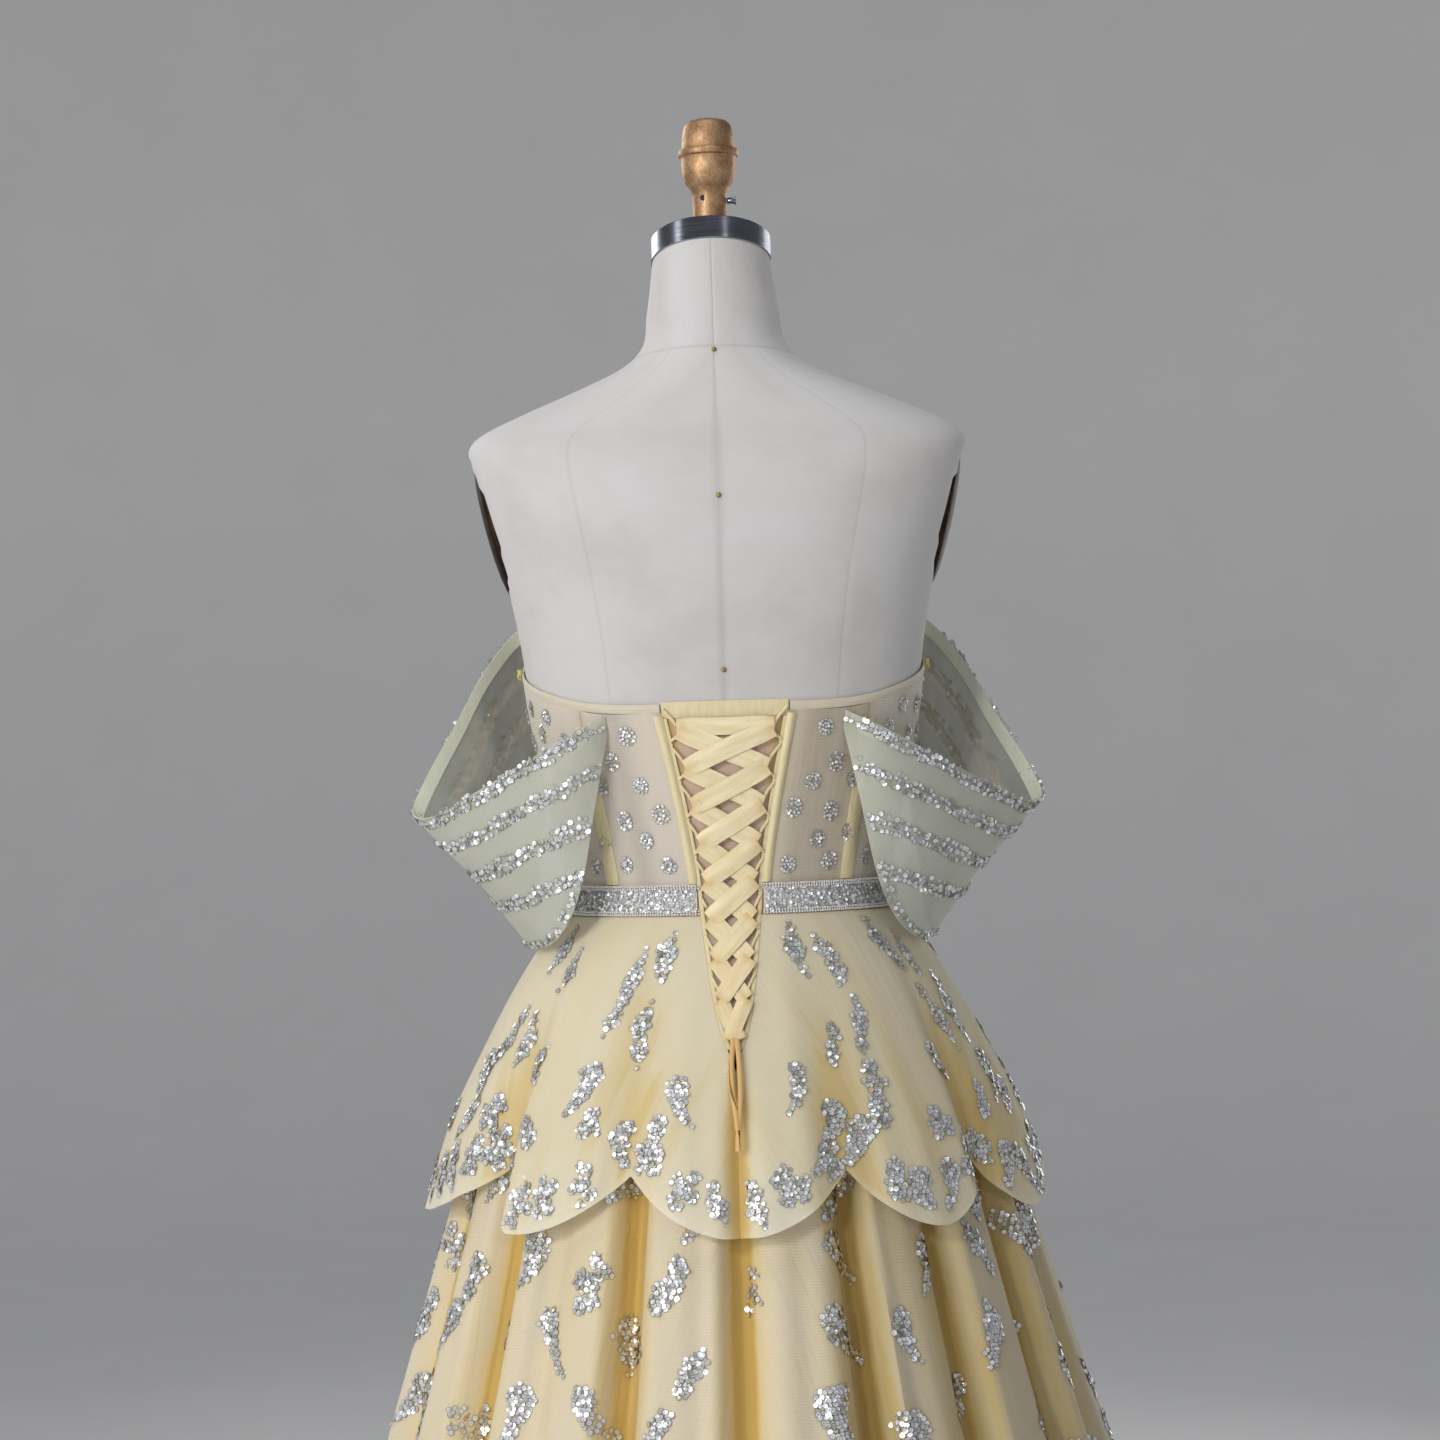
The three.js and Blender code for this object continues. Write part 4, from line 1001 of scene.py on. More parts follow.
def build_bodice():
    gap = 0.08
    panels = (("back", 0, "back"), ("side", "back", "side"), ("side_front", "side", "front"))
    for word, side in SIDES:
        for panel, start, end in panels:
            first, last = SEAM_ANGLES.get(start, 0), SEAM_ANGLES[end]
            share, high = lattice((0, 1, 40), (0, 1, 70))
            top = top_line(first + (last - first) * share)
            z = BODICE_BOTTOM_Z + (top - BODICE_BOTTOM_Z) * high
            edge = first + gap if first else opening_angle(form_section(z), z, SEAM_GAP)
            grid = on_bodice(edge + (last - gap - edge) * share, z)
            is_back = panel == "back"
            # Painted shade: the colour deepens towards the panels' edges and over the wearer's right back
            # panel, and a further darkening paints shade in a band down the left back panel and over much of
            # the right one.
            shade = 0.3 * ease(0.86, 1, share) + 0.25 * ease(0.12, 0, share) + 0.15
            dim = 0.8 * bell(share - 0.56, 0.17) * is_back
            if side < 0:
                shade = shade[:, ::-1] + 0.3 * is_back
                dim = (0.75 * ease(0.1, 0.3, share) * ease(0.95, 0.6, share))[:, ::-1] * is_back
            name = f"bodice_{panel}_{word}"
            piece = shell(name + "_cloth", mirror(grid, side), BODICE_WALL, fold=shade, dim=dim)
            cloth(piece, "bodice", "bodice_organza", name)
    share, high = lattice((0, 1, 70), (0, 1, 80))
    angle = SEAM_ANGLES["front"] + gap + (360 - 2 * SEAM_ANGLES["front"] - 2 * gap) * share
    z = BODICE_BOTTOM_Z + (top_line(angle) - BODICE_BOTTOM_Z) * high
    piece = shell("bodice_front_cloth", on_bodice(angle, z), BODICE_WALL, fold=0.2)
    cloth(piece, "bodice", "bodice_organza", "bodice_front")


def build_top_band():
    start = opening_angle(form_section(1248), 1248, 0.4)
    angle, high = lattice((start, 360 - start, 280), (0, 1, 5))
    z = top_line(angle) + 0.15 + 6.3 * high
    grid = on_bodice(angle, z, -0.3 + 0.5 * np.sin(math.pi * high))
    dress(shell("top_band_cloth", grid, BAND_WALL, fold=0.2), "band", "sleeve_organza", "top_band")


def satin_trim(name, grid, side):
    """A narrow trim that is sewn to a panel."""
    dress(shell(name + "_satin", mirror(grid, side), TRIM_WALL, fold=0), "edge", "ribbon_satin", name)


def build_back_trims():
    foot = 1117
    binding = {"top": 1242, "wide": 6.0, "out": 2.9, "roll": 1.9}
    boning = {"top": 1236, "wide": 9, "out": 3.0, "roll": 0.8}
    for word, side in SIDES:
        share, z = lattice((0, 1, 9), (foot, binding["top"], 60))
        out = binding["out"] + binding["roll"] * np.sin(math.pi * share)
        angle = opening_angle(form_section(z), z, binding["wide"] * share - SEAM_GAP)
        satin_trim(f"opening_binding_{word}", on_form(angle, z, out), side)
        share, z = lattice((-0.5, 0.5, 9), (foot, boning["top"], 50))
        out = boning["out"] + boning["roll"] * np.cos(math.pi * share)
        middle = on_form(SEAM_ANGLES["back"], z, 0)[..., 0]
        angle = angle_at_x(form_section(z), middle + boning["wide"] * share)
        satin_trim(f"boning_{word}", on_form(angle, z, out), side)


# The laced opening

LACE = {"width": 14.6, "thick": 0.5, "pitch": 28, "top": 1231, "levels": 9, "out": 4, "apart": 1.1}
TAIL = {"top": 1008, "lean": (-1.6, 1.8), "foot": (932, 946), "wide": 5.2, "out": 4.2}
TAPE_WIDTH = 2.4
TAPE_FOOT_Z = 1000
LOOP = {"tall": 24, "radius": 1.2, "out": 1.9, "up": 4, "peak": 0.4}
MODESTY = {"under": 5, "wall": 0.4, "gap": 0.3, "band": 12}


def loop_reach(z):
    return np.minimum(3.2 + 0.12 * opening_half(z), 0.5 * opening_half(z))


def lace_level(k):
    return LACE["top"] - LACE["pitch"] * k


def build_modesty():
    share, z = lattice((-1, 1, 21), (TAPE_FOOT_Z, OPENING_TOP_Z, 90))
    half = opening_half(z) + MODESTY["under"]
    # Painted shade: the colour deepens to golden brown towards the panel's edges, under the binding and the
    # loops.
    shade = 0.1 + 0.8 * ease(0.62, 0.95, np.abs(share))
    grid = on_opening(-half * share, z, -1)[:, ::-1]
    piece = shell("modesty_panel_cloth", grid, MODESTY["wall"], fold=shade)
    cloth(piece, "modesty", "bodice_organza", "modesty_panel")
    low = OPENING_TOP_Z + MODESTY["gap"]
    share, z = lattice((1, -1, 41), (low, low + MODESTY["band"], 7))
    out = -1 + 0.3 * np.sin((z - OPENING_TOP_Z) / MODESTY["band"] * math.pi)
    grid = on_opening(-(opening_half(low) + 1) * share, z, out)
    cloth(shell("modesty_band_satin", grid, 1.0, fold=0), "edge", "ribbon_satin", "modesty_band")


def build_loops():
    t = np.linspace(-1, 1, 17)
    peak = LOOP["peak"]
    bow = np.sin(math.pi / 2 * np.where(t < peak, (t + 1) / (peak + 1), (1 - t) / (1 - peak)))
    for word, side in SIDES:
        share, z = lattice((0, 1, 5), (TAPE_FOOT_Z, OPENING_TOP_Z, 90))
        edge = opening_half(z) + SEAM_GAP - (TAPE_WIDTH + 2 * SEAM_GAP) * (1 - share)
        satin_trim(f"loop_tape_{word}", on_opening(edge, z, 0.4 + 0.2 * np.sin(math.pi * share)), side)
        paths = []
        for k in range(LACE["levels"] - 1):
            height = lace_level(k) + LOOP["up"] - t * LOOP["tall"] / 2
            x = opening_half(height) - TAPE_WIDTH / 2 - 0.95 * loop_reach(lace_level(k)) * bow
            paths.append(on_opening(side * x, height, LOOP["out"] - 0.6 * np.abs(t)))
        points, faces = tube_mesh(paths, LOOP["radius"], 8)
        rouleaux = mesh_of(f"rouleau_loops_{word}", points, faces)
        place_uv(rouleaux, points[:, [0, 2]])
        dress(rouleaux, "edge", "ribbon_satin")


def strand(start, end, apart, width, draw):
    """A grid of points for one stretch of the lace from start to end, given as x and z."""
    side, t = lattice((-0.5, 0.5, 9), (0, 1, 28))
    dx, dz = end[0] - start[0], end[1] - start[1]
    long = math.hypot(dx, dz)
    pinch = 1 - 0.1 * bell(t, 0.08) - 0.14 * bell(1 - t, 0.08)
    bend = draw.uniform(-1.0, 1.0) * np.sin(math.pi * t)
    strength = draw.uniform(0.35, 0.8)
    crease = strength * np.sin((side + 0.5) * math.pi * draw.uniform(1.6, 3.2) + draw.uniform(0, 6))
    crease = crease * (0.35 + 0.65 * np.abs(2 * t - 1) ** draw.uniform(0.6, 1.6))
    curl = 0.5 * np.cos(math.pi * side)
    x = start[0] + dx * t + dz / long * (side * width * pinch + bend)
    z = start[1] + dz * t + -dx / long * (side * width * pinch + bend)
    return on_opening(x, z, LACE["out"] + apart * np.sin(math.pi * t) + crease + curl)


def oriented(grid):
    """Turns a grid round where its outer side would face inwards."""
    middle = grid_normals(grid)[grid.shape[0] // 2, grid.shape[1] // 2]
    return grid if middle[1] > 0 else grid[:, ::-1]


def tail_grids():
    """The two rolled ends of the lace, which hang twisted down the centre back."""
    grids = []
    for number, (lean, foot) in enumerate(zip(TAIL["lean"], TAIL["foot"])):
        side, t = lattice((-0.5, 0.5, 13), (0, 1, 110))
        z = TAIL["top"] + (foot - TAIL["top"]) * t
        curl = TAIL["wide"] * side + (5.5 * t + number * 1.4 + 0.5 * np.sin(9 * t))
        radius = 1.8 + 0.8 * side
        x = lean * np.sin(math.pi * 1.3 * t) + 1.3 * (2 * number - 1) + radius * np.cos(curl)
        grids.append(on_opening(x, z, TAIL["out"] - 0.6 * t + radius * np.sin(curl)))
    return grids


def build_lacing():
    draw = np.random.default_rng(SEED)

    def inset(k):
        return float(opening_half(lace_level(k)) - loop_reach(lace_level(k)) - 0.4)

    def width(k):
        return LACE["width"] * (1 if k < 5 else 1 - 0.07 * (k - 4))

    grids = []
    for k in range(LACE["levels"] - 1):
        low, high = lace_level(k + 1), lace_level(k)
        for side in (1, -1):
            start, end = (side * inset(k), high), (-side * inset(k + 1), low)
            grids.append(strand(start, end, -side * LACE["apart"], width(k), draw))
    grids.insert(0, strand((inset(0) + 1, LACE["top"] + 3), (-inset(0) - 1, LACE["top"] + 3), -1.6, 13, draw))
    tails = tail_grids()
    laced = [oriented(grid) for grid in grids]
    piece = ribbon_shell("lacing_ribbon_satin", laced + tails, LACE["width"], LACE["thick"])
    # Painted shade: deeper colour at both ends of each stretch by the loops, a little more on each lower
    # stretch, and most on the hanging tails.
    deep = []
    for number, grid in enumerate(grids):
        _, t = lattice((0, 1, grid.shape[1]), (0, 1, grid.shape[0]))
        deep.append(0.35 * (bell(t, 0.09) + bell(1 - t, 0.09)) + 0.015 * number)
    deep += [np.full(grid.shape[:2], 0.85) for grid in tails]
    set_values(piece, "deep", np.concatenate([np.tile(part.ravel(), 2) for part in deep]))
    cloth(piece, "ribbon", "ribbon_satin", "lacing_ribbon")


# The belt


def belt_edge(clear):
    return float(opening_angle(form_section(BELT_MIDDLE_Z), BELT_MIDDLE_Z, clear))


def build_belt():
    edge = belt_edge(1)
    for word, start, end in (("left", edge, 179.9), ("right", 180.1, 360 - edge)):
        angle, z = lattice((start, end, 160), (*BELT_Z, 13))
        crown = 0.7 * np.sin(math.pi * (z - BELT_Z[0]) / (BELT_Z[1] - BELT_Z[0]))
        piece = shell(f"belt_{word}_band", on_form(angle, z, BELT_OUT - 0.4 + crown), BAND_WALL, fold=0)
        cloth(piece, "belt", "beading", f"belt_{word}")


# The skirt layers

SKIRT_PANELS = {"back_left": (0.5, 91.9), "front": (92.1, 267.9), "back_right": (268.1, 359.5)}
LINING_PANELS = {"left": (0.5, 179.9), "right": (180.1, 359.5)}


def panel_columns(start, end, folds, fine):
    """Angles across a panel, closer together in its folds."""
    dense = np.linspace(start, end, 4000)
    weight = 1 + 2.6 * np.clip(valleys(folds, dense, 1.4), 0, 1)
    total = np.concatenate([[0], np.cumsum((weight[1:] + weight[:-1]) / 2)])
    return np.interp(np.linspace(0, total[-1], int((end - start) / fine)), total, dense)


def panel_grid(layer, angles, rows, hem):
    """Points of a skirt panel, whose edges at the centre back follow the laced opening."""
    angle, high = np.meshgrid(angles, rows)
    foot = hem(angle)
    z = foot + (SKIRT_TOP_Z - foot) * high
    clear = 0.1 + (2 * SEAM_GAP - 0.1) * ease(OPENING_FOOT_Z - 6, OPENING_FOOT_Z + 10, z)
    half = np.where(z < OPENING_FOOT_Z - 6, 0, opening_half(z))
    edge = angle_at_x(layer_section(layer, z), half + clear)
    first, last = angles[0], angles[-1]
    if first < 1:
        angle = edge + (last - edge) * (angle - first) / (last - first)
    if last > 359:
        angle = first + (360 - edge - first) * (angle - first) / (last - first)
    return on_layer(layer, angle, z), angle, z


def painted_shade_right(angle):
    """1 on the wearer's right back, where painted shade deepens the layers' colour."""
    return ease(352, 338, angle) * ease(262, 285, angle)


def build_skirt_panel(word, start, end):
    angles = panel_columns(start, end, SKIRT_FOLDS, 0.62)
    grid, angle, z = panel_grid(SKIRT, angles, np.linspace(0, 1, 52), hem_of(HEM_Z))
    # Painted shade: the colour deepens to gold in the folds, partly for the gold layer beneath, and the
    # wearer's right back is darker.
    depth = 0.26 * ease(0.08, 0.5, skirt_folds(angle, z, 1.5)) + 0.12 * painted_shade_right(angle)
    narrow = skirt_folds(angle, z, 0.45 + 0.4 * ease(60, 760, z))
    depth = depth + 0.55 * ease(0.33, 0.45, narrow)
    shade = depth * ease(1060, 900, z) + 0.1
    piece = shell(f"skirt_{word}_cloth", grid, fold=shade, dim=painted_shade_right(angle))
    cloth(piece, "skirt", "skirt_organza", f"skirt_{word}")


def build_peplum_panel(word, start, end):
    rows = np.concatenate([np.linspace(0, 0.12, 8), np.linspace(0.15, 1, 36)])
    grid, angle, z = panel_grid(PEPLUM, panel_columns(start, end, PETALS, 0.55), rows, petal_hem)
    # Painted shade: the colour deepens in the folds, at the centre split and on the wearer's right back; it
    # is paler near the sheer hem.
    depth = 0.16 * peplum_folds(angle, z, 1.6) + 0.26 * peplum_folds(angle, z, 0.8)
    depth = depth + 0.12 * painted_shade_right(angle) + 0.5 * bell(turn(0, angle), 1.5) * ease(992, 960, z)
    above = z - petal_hem(angle)
    shade = depth * ease(1080, 900, z) + 0.24 - 0.12 * ease(6, 1.5, above) - 0.14 * ease(60, 8, above)
    piece = shell(f"peplum_{word}_cloth", grid, fold=shade, dim=0.3 * painted_shade_right(angle))
    cloth(piece, "peplum", "skirt_organza", f"peplum_{word}")


def build_skirts():
    for word, (start, end) in SKIRT_PANELS.items():
        build_skirt_panel(word, start, end)
        build_peplum_panel(word, start, end)
    for word, (start, end) in LINING_PANELS.items():
        angles, rows = np.linspace(start, end, 84), np.linspace(0, 1, 36)
        grid, _, _ = panel_grid(LINING, angles, rows, hem_of(LINING_HEM_Z))
        piece = shell(f"lining_{word}_satin", grid, fold=0)
        cloth(piece, "lining", "lining_satin", f"lining_{word}")


# The sleeves

SLEEVE_ROWS = (
    {"depth": 5.2, "half": 5.4, "start": 0},
    {"depth": 34, "half": 5.8, "start": 0},
    {"depth": 66, "half": 5.8, "start": 0},
    {"depth": 98, "half": 5.6, "start": 0},
    {"depth": None, "half": 1.8, "start": 2.3},
)
SLEEVE_HEM = {"wide": 11.6, "over": 0.5, "under": 0.9, "wall": 0.5}


def build_sleeve(word, side):
    along, down = lattice((0, SLEEVE_END, 130), (1, 0, 44))
    depth = down * sleeve_drop(along)
    # Painted shade: the colour deepens towards both ends of the sleeve.
    shade = 0.3 * ease(0.8, 0, along) + 0.3 * ease(SLEEVE_END - 1.5, SLEEVE_END, along) + 0.12
    rows = sum(bell(depth - row["depth"], 6, 4) for row in SLEEVE_ROWS[1:4])
    rows = rows * (0.75 + 0.25 * np.sin(along * 23 + depth))
    grid = mirror(on_sleeve(along, down), side)
    piece = shell(f"sleeve_{word}_cloth", grid, fold=shade[:, ::side], row=rows[:, ::side])
    # The inner wall, from just below the top edge, takes the painted shade and the rows' beige.
    inner_shade_and_rows = ease(6, 12, depth)
    set_values(piece, "inner_shade_and_rows", np.concatenate([0 * inner_shade_and_rows, inner_shade_and_rows[:, ::side]]))
    cloth(piece, "sleeve", "sleeve_organza", f"sleeve_{word}")


def build_sleeve_hem(word, side):
    along, share = lattice((0.4, SLEEVE_END - 0.3, 120), (1, 0, 6))
    down = (SLEEVE_HEM["wide"] * share - SLEEVE_HEM["over"]) / sleeve_drop(along)
    grid = mirror(on_sleeve(along, down, -SLEEVE_HEM["under"]), side)
    piece = shell(f"sleeve_hem_{word}", grid, SLEEVE_HEM["wall"], fold=0.1)
    cloth(piece, "hem", "sleeve_organza", None)


# Sequins and beads

SEQUIN = {"sides": 7, "radius": 2.35, "pitch": 3.4, "tilt": 0.24, "cup": 0.3}
PEPLUM_ROWS = (
    {"z": 1067, "step": 33.5, "tall": 48, "wide": 16, "pair": 23, "lean": 0.22, "start": 22},
    {"z": 1015, "step": 33.5, "tall": 52, "wide": 16, "pair": 24, "lean": 0.18, "start": 26},
    {"z": 979, "step": 19, "tall": 34, "wide": 17, "pair": 0, "lean": 0.1, "start": 12},
    {"z": 946, "step": 13.5, "tall": 30, "wide": 17, "pair": 0, "lean": 0.1, "start": 17},
)


def sew_sequins(name, place, spots, steps, draw, radius=SEQUIN["radius"], tilt=SEQUIN["tilt"], side=1):
    """Shallow cups sewn at spots on a surface. spots are rows of two surface coordinates and a tone."""
    a, b, tone = spots
    count, sides = len(a), SEQUIN["sides"]
    centre = place(a, b)
    along = place(a + steps[0], b) - place(a - steps[0], b)
    up = place(a, b + steps[1]) - place(a, b - steps[1])
    normal = unit(unit(np.cross(up, along)) + draw.normal(0, tilt, (count, 3)))
    first = unit(np.cross(normal, draw.normal(0, 1, (count, 3))))
    ring = rings_about(first, np.cross(normal, first), circle(sides))
    size = (radius * draw.uniform(0.82, 1.12, count))[:, None, None]
    lift = draw.uniform(0.6, 1.4, count)[:, None, None]
    outer = centre[:, None] + ring * size + normal[:, None] * lift
    inner = centre[:, None] + normal[:, None] * (lift - SEQUIN["cup"])
    points = np.concatenate([outer, inner], axis=1).reshape(-1, 3) * np.array([side, 1, 1])
    start = np.arange(count)[:, None] * (sides + 1)
    index = start + np.arange(sides)[None]
    bottom = np.repeat(start + sides, sides, axis=1)
    faces = np.stack([index, np.roll(index, -1, axis=1), bottom], -1).reshape(-1, 3)
    piece = mesh_of(name, points, [faces], sharp=30)
    set_values(piece, "tone", np.repeat(tone, sides + 1))
    # cup is 0 on a sequin's rim and 1 at its centre, where the material paints shade.
    set_values(piece, "cup", np.tile([0.0] * sides + [1.0], count))
    dress(piece, "sequin", "beading")


def tones(draw, count, fold_reflection=0.0):
    """Tones of sequins, from 0.2 to 1, lowered towards gold where the cloth is deep in a fold, as a painted
    reflection and shade of the gold cloth.
    """
    return np.clip(draw.normal(0.66, 0.2, count), 0.2, 1) * (1 - np.clip(fold_reflection, 0, 0.95))


def flame(draw, wide, tall, lean=0.0, kind=None):
    """Places of the sequins in one cluster, in mm from its middle, in the shape that kind names."""
    kind = kind or draw.choice(["flame", "comma", "lobed"])
    t = np.linspace(0, 1, 9)
    if kind == "lobed":
        spread = draw.uniform(0, 6.3) + np.arange(5) * 1.26 + draw.normal(0, 0.2, 5)
        discs = [(0, 0, wide * 0.36)]
        for a in spread:
            size = wide * draw.uniform(0.2, 0.3)
            discs.append((0.42 * wide * math.cos(a), 0.34 * tall * math.sin(a), size))
    elif kind == "comma":
        side = draw.choice([-1, 1])
        x, y = side * wide * (0.75 * t * t - 0.15), tall * (0.32 - 0.82 * t)
        discs = list(zip(x, y, wide * 0.5 * (1 - 0.78 * t)))
    else:
        bend = wide * 0.2 * np.sin(draw.uniform(0, 6.3) + 4 * t)
        lumps = 0.8 + 0.25 * np.sin(t * draw.uniform(9, 15) + draw.uniform(0, 6.3))
        size = wide * 0.45 * np.sin(math.pi * (0.1 + 0.8 * t)) * lumps
        discs = list(zip(bend, tall * (t - 0.5) * 0.9, size))
    pitch = SEQUIN["pitch"]
    x, y = np.meshgrid(np.arange(-wide, wide, pitch), np.arange(-tall * 0.62, tall * 0.62, pitch * 0.87))
    x = x + (np.arange(x.shape[0])[:, None] % 2) * pitch / 2 + draw.uniform(0, pitch)
    keep = np.any([np.hypot(x - u, y - v) < max(r, 0.5 * pitch) for u, v, r in discs], axis=0)
    x, y = x[keep] + lean * y[keep], y[keep]
    jitter = draw.normal(0, 0.45, (2, len(x)))
    return x + jitter[0], y + jitter[1]


def layer_radius(layer, z):
    return layer["radius"] + float(smooth(layer["drape"], "z", "out", z))


def sew_clusters(name, layer, clusters, fall, keep_where, fold_reflection_at, draw):
    """Sews clusters on a layer, each given as angle, height and the places of its sequins in mm."""
    angle = np.concatenate([a + x / layer_radius(layer, z) / DEGREE for a, z, x, _ in clusters])
    height = np.concatenate([z + y * fall(z) for _, z, _, y in clusters])
    keep = keep_where(angle, height)
    angle, height = angle[keep], height[keep]
    spots = (angle, height, tones(draw, len(angle), fold_reflection_at(angle)))
    sew_sequins(name, lambda a, b: on_layer(layer, a, b, 0.4), spots, (0.05, 0.5), draw)


def sew_skirt():
    draw = np.random.default_rng(SEED + 1)
    beside = 1.6

    # Painted reflection and shade: deeper in a fold, a sequin's tone is lowered towards gold.
    def fold_reflection(angle):
        return 0.8 * np.clip(valleys(SKIRT_FOLDS, angle, 1.0), 0, 1) ** 1.5

    for word, start, end in (("back_left", 2.5, 90.5), ("front", 93.5, 266.5), ("back_right", 269.5, 357.5)):
        def sewn(angle, z):
            return (angle > start - beside) & (angle < end + beside) & (z > HEM_Z + 6) & (z < 985)

        clusters = []
        for number, level in enumerate(np.arange(34, 905, 54.0)):
            step = 60 / layer_radius(SKIRT, level) / DEGREE
            for a in np.arange(start + step * (0.3 + 0.45 * (number % 2)), end, step):
                at, z = a + draw.uniform(-0.2, 0.2) * step, level + draw.uniform(-14, 14)
                wide, tall = draw.uniform(17, 26), draw.uniform(34, 48)
                clusters.append((at, z, *flame(draw, wide, tall, draw.uniform(-0.3, 0.3))))
        sew_clusters(f"sequins_skirt_{word}", SKIRT, clusters, lambda z: 0.95, sewn, fold_reflection, draw)


def peplum_clusters(start, end, draw):
    """The clusters of one peplum panel: its rows and then those along its hem."""
    clusters = []
    for row in PEPLUM_ROWS:
        half = np.arange(row["start"], 180, row["step"])
        for a in np.concatenate([half, 360 - half]):
            at, z = a + draw.uniform(-2.2, 2.2), row["z"] + draw.uniform(-9, 9)
            lean = -row["lean"] * (1 if turn(0, at) > 0 else -1) * draw.uniform(0.2, 1.5)
            for shift in (-row["pair"] / 2, row["pair"] / 2) if row["pair"] else (0,):
                wide = row["wide"] * draw.uniform(0.8, 1.25)
                tall = row["tall"] * draw.uniform(0.8, 1.15)
                x, y = flame(draw, wide, tall, lean, "flame" if row["pair"] else None)
                if start + 1.5 < at < end - 1.5:
                    clusters.append((at, z + draw.uniform(-11, 11), x + shift, y))
    for a in np.arange(4.5, 360, 6.4):
        at, above = a + draw.uniform(-0.9, 0.9), draw.uniform(17, 28)
        x, y = flame(draw, draw.uniform(15, 23), draw.uniform(30, 46), draw.uniform(-0.3, 0.3))
        if start < at < end:
            clusters.append((at, float(petal_hem(at)) + above, x, y))
    return clusters


def sew_peplum():
    draw = np.random.default_rng(SEED + 2)
    beside = 1.5

    # Painted reflection and shade: deeper in a fold, a sequin's tone is lowered towards gold.
    def fold_reflection(angle):
        return 0.35 * np.clip(valleys(PETALS, angle, 0.8), 0, 1)

    for word, start, end in (("back_left", 2.8, 90.8), ("front", 93, 267), ("back_right", 269.2, 357.2)):
        def sewn(angle, z):
            keep = (angle > start - beside) & (angle < end + beside) & (z > petal_hem(angle) + 3.5)
            return keep & (np.abs(turn(0, angle)) > opening_angle(layer_section(PEPLUM, z), z, 3))

        name = f"sequins_peplum_{word}"
        clusters = peplum_clusters(start, end, draw)
        sew_clusters(name, PEPLUM, clusters, lambda z: 0.9 if z < 1040 else 0.8, sewn, fold_reflection, draw)


def sew_bodice():
    draw = np.random.default_rng(SEED + 3)
    angles, heights = [], []
    for number, z in enumerate(np.arange(1130, 1330, 19.5)):
        section = form_section(z)
        radius = float(section["width"])
        step = 36 / radius / DEGREE
        for a in np.arange(18 + step * 0.5 * (number % 2), 180, step):
            for _, side in SIDES:
                at, level = side * (a + draw.uniform(-0.12, 0.12) * step), z + draw.uniform(-4, 4)
                low = float(opening_angle(section, z, 15))
                if abs(at) < low or level > float(top_line(at)) - 9 or level < 1125:
                    continue
                size = draw.uniform(5.0, 6.6)
                for ring, count in ((size, 12), (size * 0.55, 7), (0, 1)):
                    turns = circle(count) + draw.uniform(0, 1)
                    x, y = ring * np.cos(turns) * draw.uniform(0.75, 1), ring * np.sin(turns)
                    angles.append(at + x / radius / DEGREE)
                    heights.append(level + y)
    angle, height = np.concatenate(angles), np.concatenate(heights)
    spots = (angle, height, np.maximum(tones(draw, len(angle)), 0.42))
    sew_sequins("sequins_bodice", lambda a, b: on_bodice(a, b, 1.0), spots, (0.1, 0.5), draw, 1.45, 0.26)


def sew_sleeve(word, side, draw):
    dense = np.linspace(0.02, SLEEVE_END - 0.02, 1500)
    long = sleeve_drop(dense)
    alongs, downs = [], []
    for row in SLEEVE_ROWS:
        half = row["half"]
        depth = row["depth"] + np.zeros(len(dense)) if row["depth"] else long - 3.5
        path = on_sleeve(dense, depth / long)
        travel = np.concatenate([[0], np.cumsum(np.linalg.norm(np.diff(path, axis=0), axis=-1))])
        for across in np.arange(-half, half + 0.1, 3.0):
            stops = np.arange(draw.uniform(0, 2), travel[-1], 3.3)
            along = np.interp(stops, travel, dense) + draw.normal(0, 0.012, len(stops))
            wave = 1.3 * np.sin(stops / 11 + across) + draw.normal(0, 0.7, len(stops))
            at = np.interp(stops, travel, depth) + across + wave
            keep = draw.random(len(stops)) < (0.95 if abs(across) < half * 0.8 else 0.6)
            reach = np.interp(along, dense, long)
            keep &= (at > -0.9) & (at < reach - 1.2) & (along > row["start"])
            keep &= np.abs(across) < half * (0.3 + 0.75 * ease(0, 1.5, along))
            alongs.append(along[keep])
            downs.append((at / reach)[keep])

    def place(a, b):
        return on_sleeve(np.clip(a, 0, SLEEVE_END), np.clip(b, -0.01, 1), 0.5)

    along, down = np.concatenate(alongs), np.concatenate(downs)
    spots = (along, down, tones(draw, len(along)))
    sew_sequins(f"sequins_sleeve_{word}", place, spots, (0.01, -0.01), draw, 2.3, 0.36, side)


def sew_sleeves():
    draw = np.random.default_rng(SEED + 4)
    for word, side in SIDES:
        sew_sleeve(word, side, draw)


def sew_belt():
    draw = np.random.default_rng(SEED + 5)
    edge = belt_edge(3)
    rows = np.arange(BELT_Z[0] + 3.4, BELT_Z[1] - 3, 2.15)
    angle, z = np.meshgrid(np.arange(edge, 360 - edge, 1.08), rows)
    angle = angle + draw.normal(0, 0.22, angle.shape)
    z = z + draw.normal(0, 0.45, z.shape)
    keep = np.abs(turn(180, angle)) > 0.4
    spots = (angle[keep], z[keep], 0.4 + 0.6 * tones(draw, int(keep.sum())))
    sew_sequins("sequins_belt", lambda a, b: on_form(a, b, BELT_OUT + 0.6), spots, (0.1, 0.4), draw, 1.5, 0.4)
    sew_beads(edge, draw)


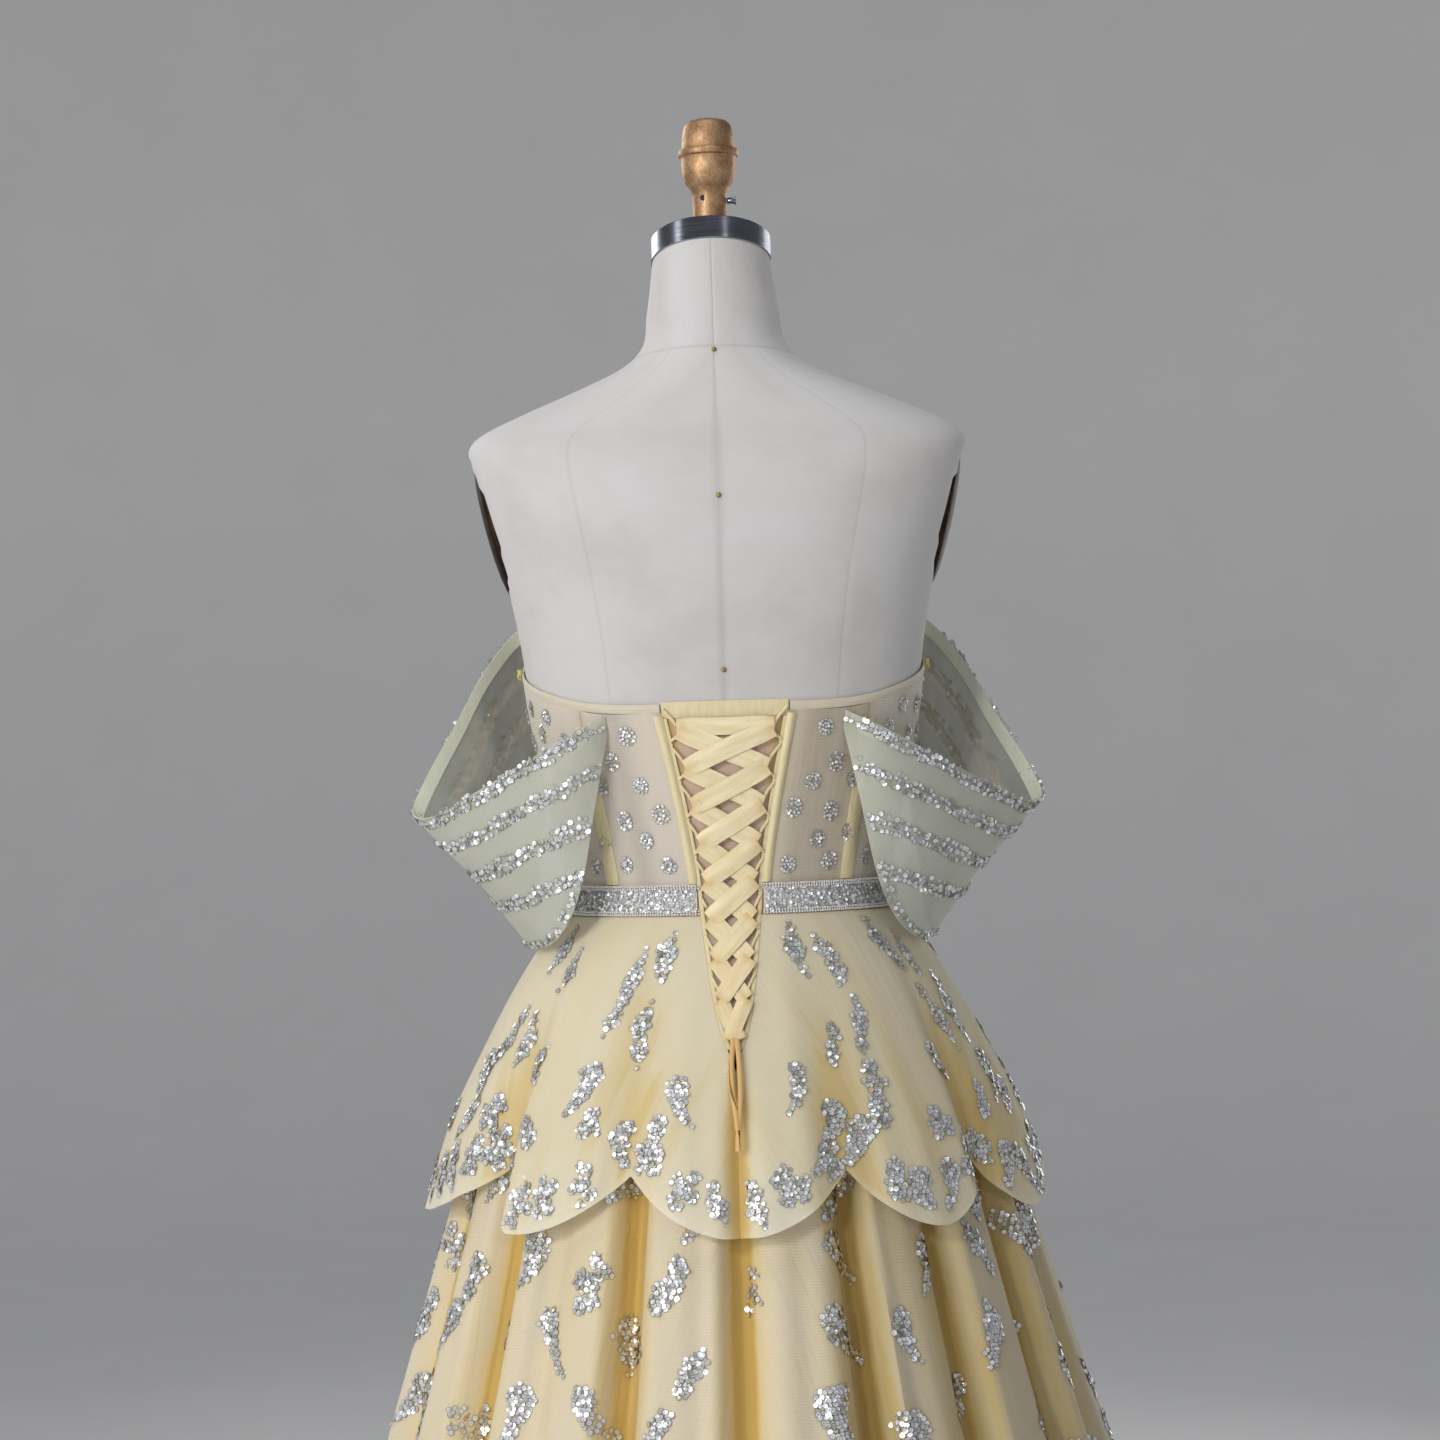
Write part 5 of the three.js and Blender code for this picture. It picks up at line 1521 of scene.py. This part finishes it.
def sew_beads(edge, draw):
    """Round beads in rows along both edges of the belt."""
    rings = ((0.5, -0.9), (1.05, 0), (0.5, 0.9))
    sides = 5
    shape = np.array([[r * math.cos(t), r * math.sin(t), h] for r, h in rings for t in circle(sides)])
    spots = []
    for level in (BELT_Z[0] + 1.1, BELT_Z[0] + 3.0, BELT_Z[1] - 3.0, BELT_Z[1] - 1.1):
        angle = np.arange(edge - 1.5, 361.5 - edge, 1.0)
        angle = angle[np.abs(turn(180, angle)) > 0.5]
        spots.append(on_form(angle, level + draw.normal(0, 0.12, len(angle)), BELT_OUT + 1.4))
    centre = np.concatenate(spots)
    start = np.arange(len(centre))[:, None, None] * len(shape)
    faces = ring_faces(np.arange(len(shape)).reshape(len(rings), sides), True)
    faces = [(start + part[None]).reshape(-1, part.shape[1]) for part in faces]
    piece = mesh_of("beads_belt_edges", (centre[:, None] + shape[None]).reshape(-1, 3), faces, sharp=80)
    dress(piece, "bead", "beading")


def build_hanger_loops():
    """Small thread loops at the sides of the bodice's top edge."""
    turns = circle(60)
    round_x, round_z = np.sin(turns) + 2 * np.sin(2 * turns), np.cos(turns) - 2 * np.cos(2 * turns)
    for word, side in SIDES:
        angle = 88 * side
        centre = on_bodice(angle, top_line(angle) + 6, 2.6)
        path = centre + np.stack([-side * np.sin(3 * turns), round_x, 1.3 * round_z], -1)
        points, faces = tube_mesh([path], 0.75, 6, closed=True)
        piece = mesh_of(f"hanger_loop_{word}", points, faces)
        place_uv(piece, points[:, [1, 2]])
        dress(piece, "knot", "ribbon_satin")


# Studio

WHITE = (1, 1, 1)
LAMP_AIM = Vector((0, 0, 1.15))
LAMPS = (
    ("glint_left", (1.5, 3.1, 2.5), (0.34, 0.34), 22, WHITE),
    ("glint_right", (-1.1, 3.3, 1.9), (0.2, 0.2), 6, WHITE),
    ("key", (2.45, 2.65, 1.75), (1.2, 1.8), 45.5, (1, 0.985, 0.96)),
    ("fill", (-2.6, 2.6, 1.1), (1.8, 1.8), 1.5, (0.94, 0.97, 1)),
    ("strip_left", (2.65, 0.82, 2.75), (0.5, 1.3), 4.5, WHITE),
    ("strip_right", (-1.39, 2.16, 3.15), (0.25, 1.2), 1.3, WHITE),
    ("top", (0.3, 0.5, 3.3), (1.6, 1.2), 12, WHITE),
    ("rim", (1.6, -2.0, 2.4), (1.4, 1.4), 19, WHITE),
    ("front", (-1.8, -2.4, 1.6), (1.6, 1.8), 13, WHITE),
)


def build_studio():
    """A round pale floor that curves up into a wall, wide enough to hold a camera on any side."""
    flat, bend, height = 5600, 2200, 4300
    arc = np.linspace(0, math.pi / 2, 16)
    radius = np.concatenate([[1500, 3500], flat + bend * np.sin(arc), [flat + bend]])[:, None]
    level = np.concatenate([[0, 0], bend * (1 - np.cos(arc)), [height]])[:, None]
    angle = circle(96)
    points = np.stack([radius * np.cos(angle), radius * np.sin(angle), level + 0 * angle], -1)
    studio = ring_mesh("studio_paper", points, ends=1, body=None)
    made = Finish("studio_paper", Roughness=0.95, Emission_Color=0.95, Emission_Strength=0.08)
    studio.data.materials.append(made.done(Base_Color=made.ramp(made.grain(3, 3), (0.3, 0.8), (0.7, 0.83))))
    world = bpy.data.worlds.new("studio_world")
    world.use_nodes = True
    world.node_tree.nodes["Background"].inputs["Color"].default_value = (0.9, 0.93, 1, 1)
    world.node_tree.nodes["Background"].inputs["Strength"].default_value = 0.13
    bpy.context.scene.world = world


def build_lamps():
    for name, place, size, power, colour in LAMPS:
        light = bpy.data.lights.new("studio_" + name, "AREA")
        light.shape = "RECTANGLE"
        light.size, light.size_y = size
        light.energy = power
        light.color = colour
        item = bpy.data.objects.new(light.name, light)
        item.location = place
        item.rotation_euler = (LAMP_AIM - item.location).to_track_quat("-Z", "Y").to_euler()
        bpy.context.scene.collection.objects.link(item)


def build_camera():
    camera = bpy.data.cameras.new("photo_camera")
    camera.sensor_width = 36
    camera.lens = camera.sensor_width * CAMERA["focal_px"] / CAMERA["photo_px"]
    item = bpy.data.objects.new("photo_camera", camera)
    spot = Vector((CAMERA["side"], CAMERA["distance"], CAMERA["height"])) * MM
    level = Matrix.Rotation(math.pi, 4, "Z") @ Matrix.Rotation(math.pi / 2, 4, "X")
    item.matrix_world = Matrix.Translation(spot) @ level @ Matrix.Rotation(-CAMERA["roll"] * DEGREE, 4, "Z")
    bpy.context.scene.collection.objects.link(item)
    bpy.context.scene.camera = item
    bpy.context.scene.view_settings.view_transform = "Standard"


build_camera()
build_torso()
for word, side in SIDES:
    build_arm_plate(f"form_arm_plate_{word}", side)
build_neck_plate()
build_metal()
build_top_band()
build_back_trims()
build_loops()
build_bodice()
build_modesty()
build_belt()
build_lacing()
build_skirts()
for word, side in SIDES:
    build_sleeve(word, side)
    build_sleeve_hem(word, side)
build_hanger_loops()
sew_skirt()
sew_peplum()
sew_bodice()
sew_sleeves()
sew_belt()
build_studio()
build_lamps()
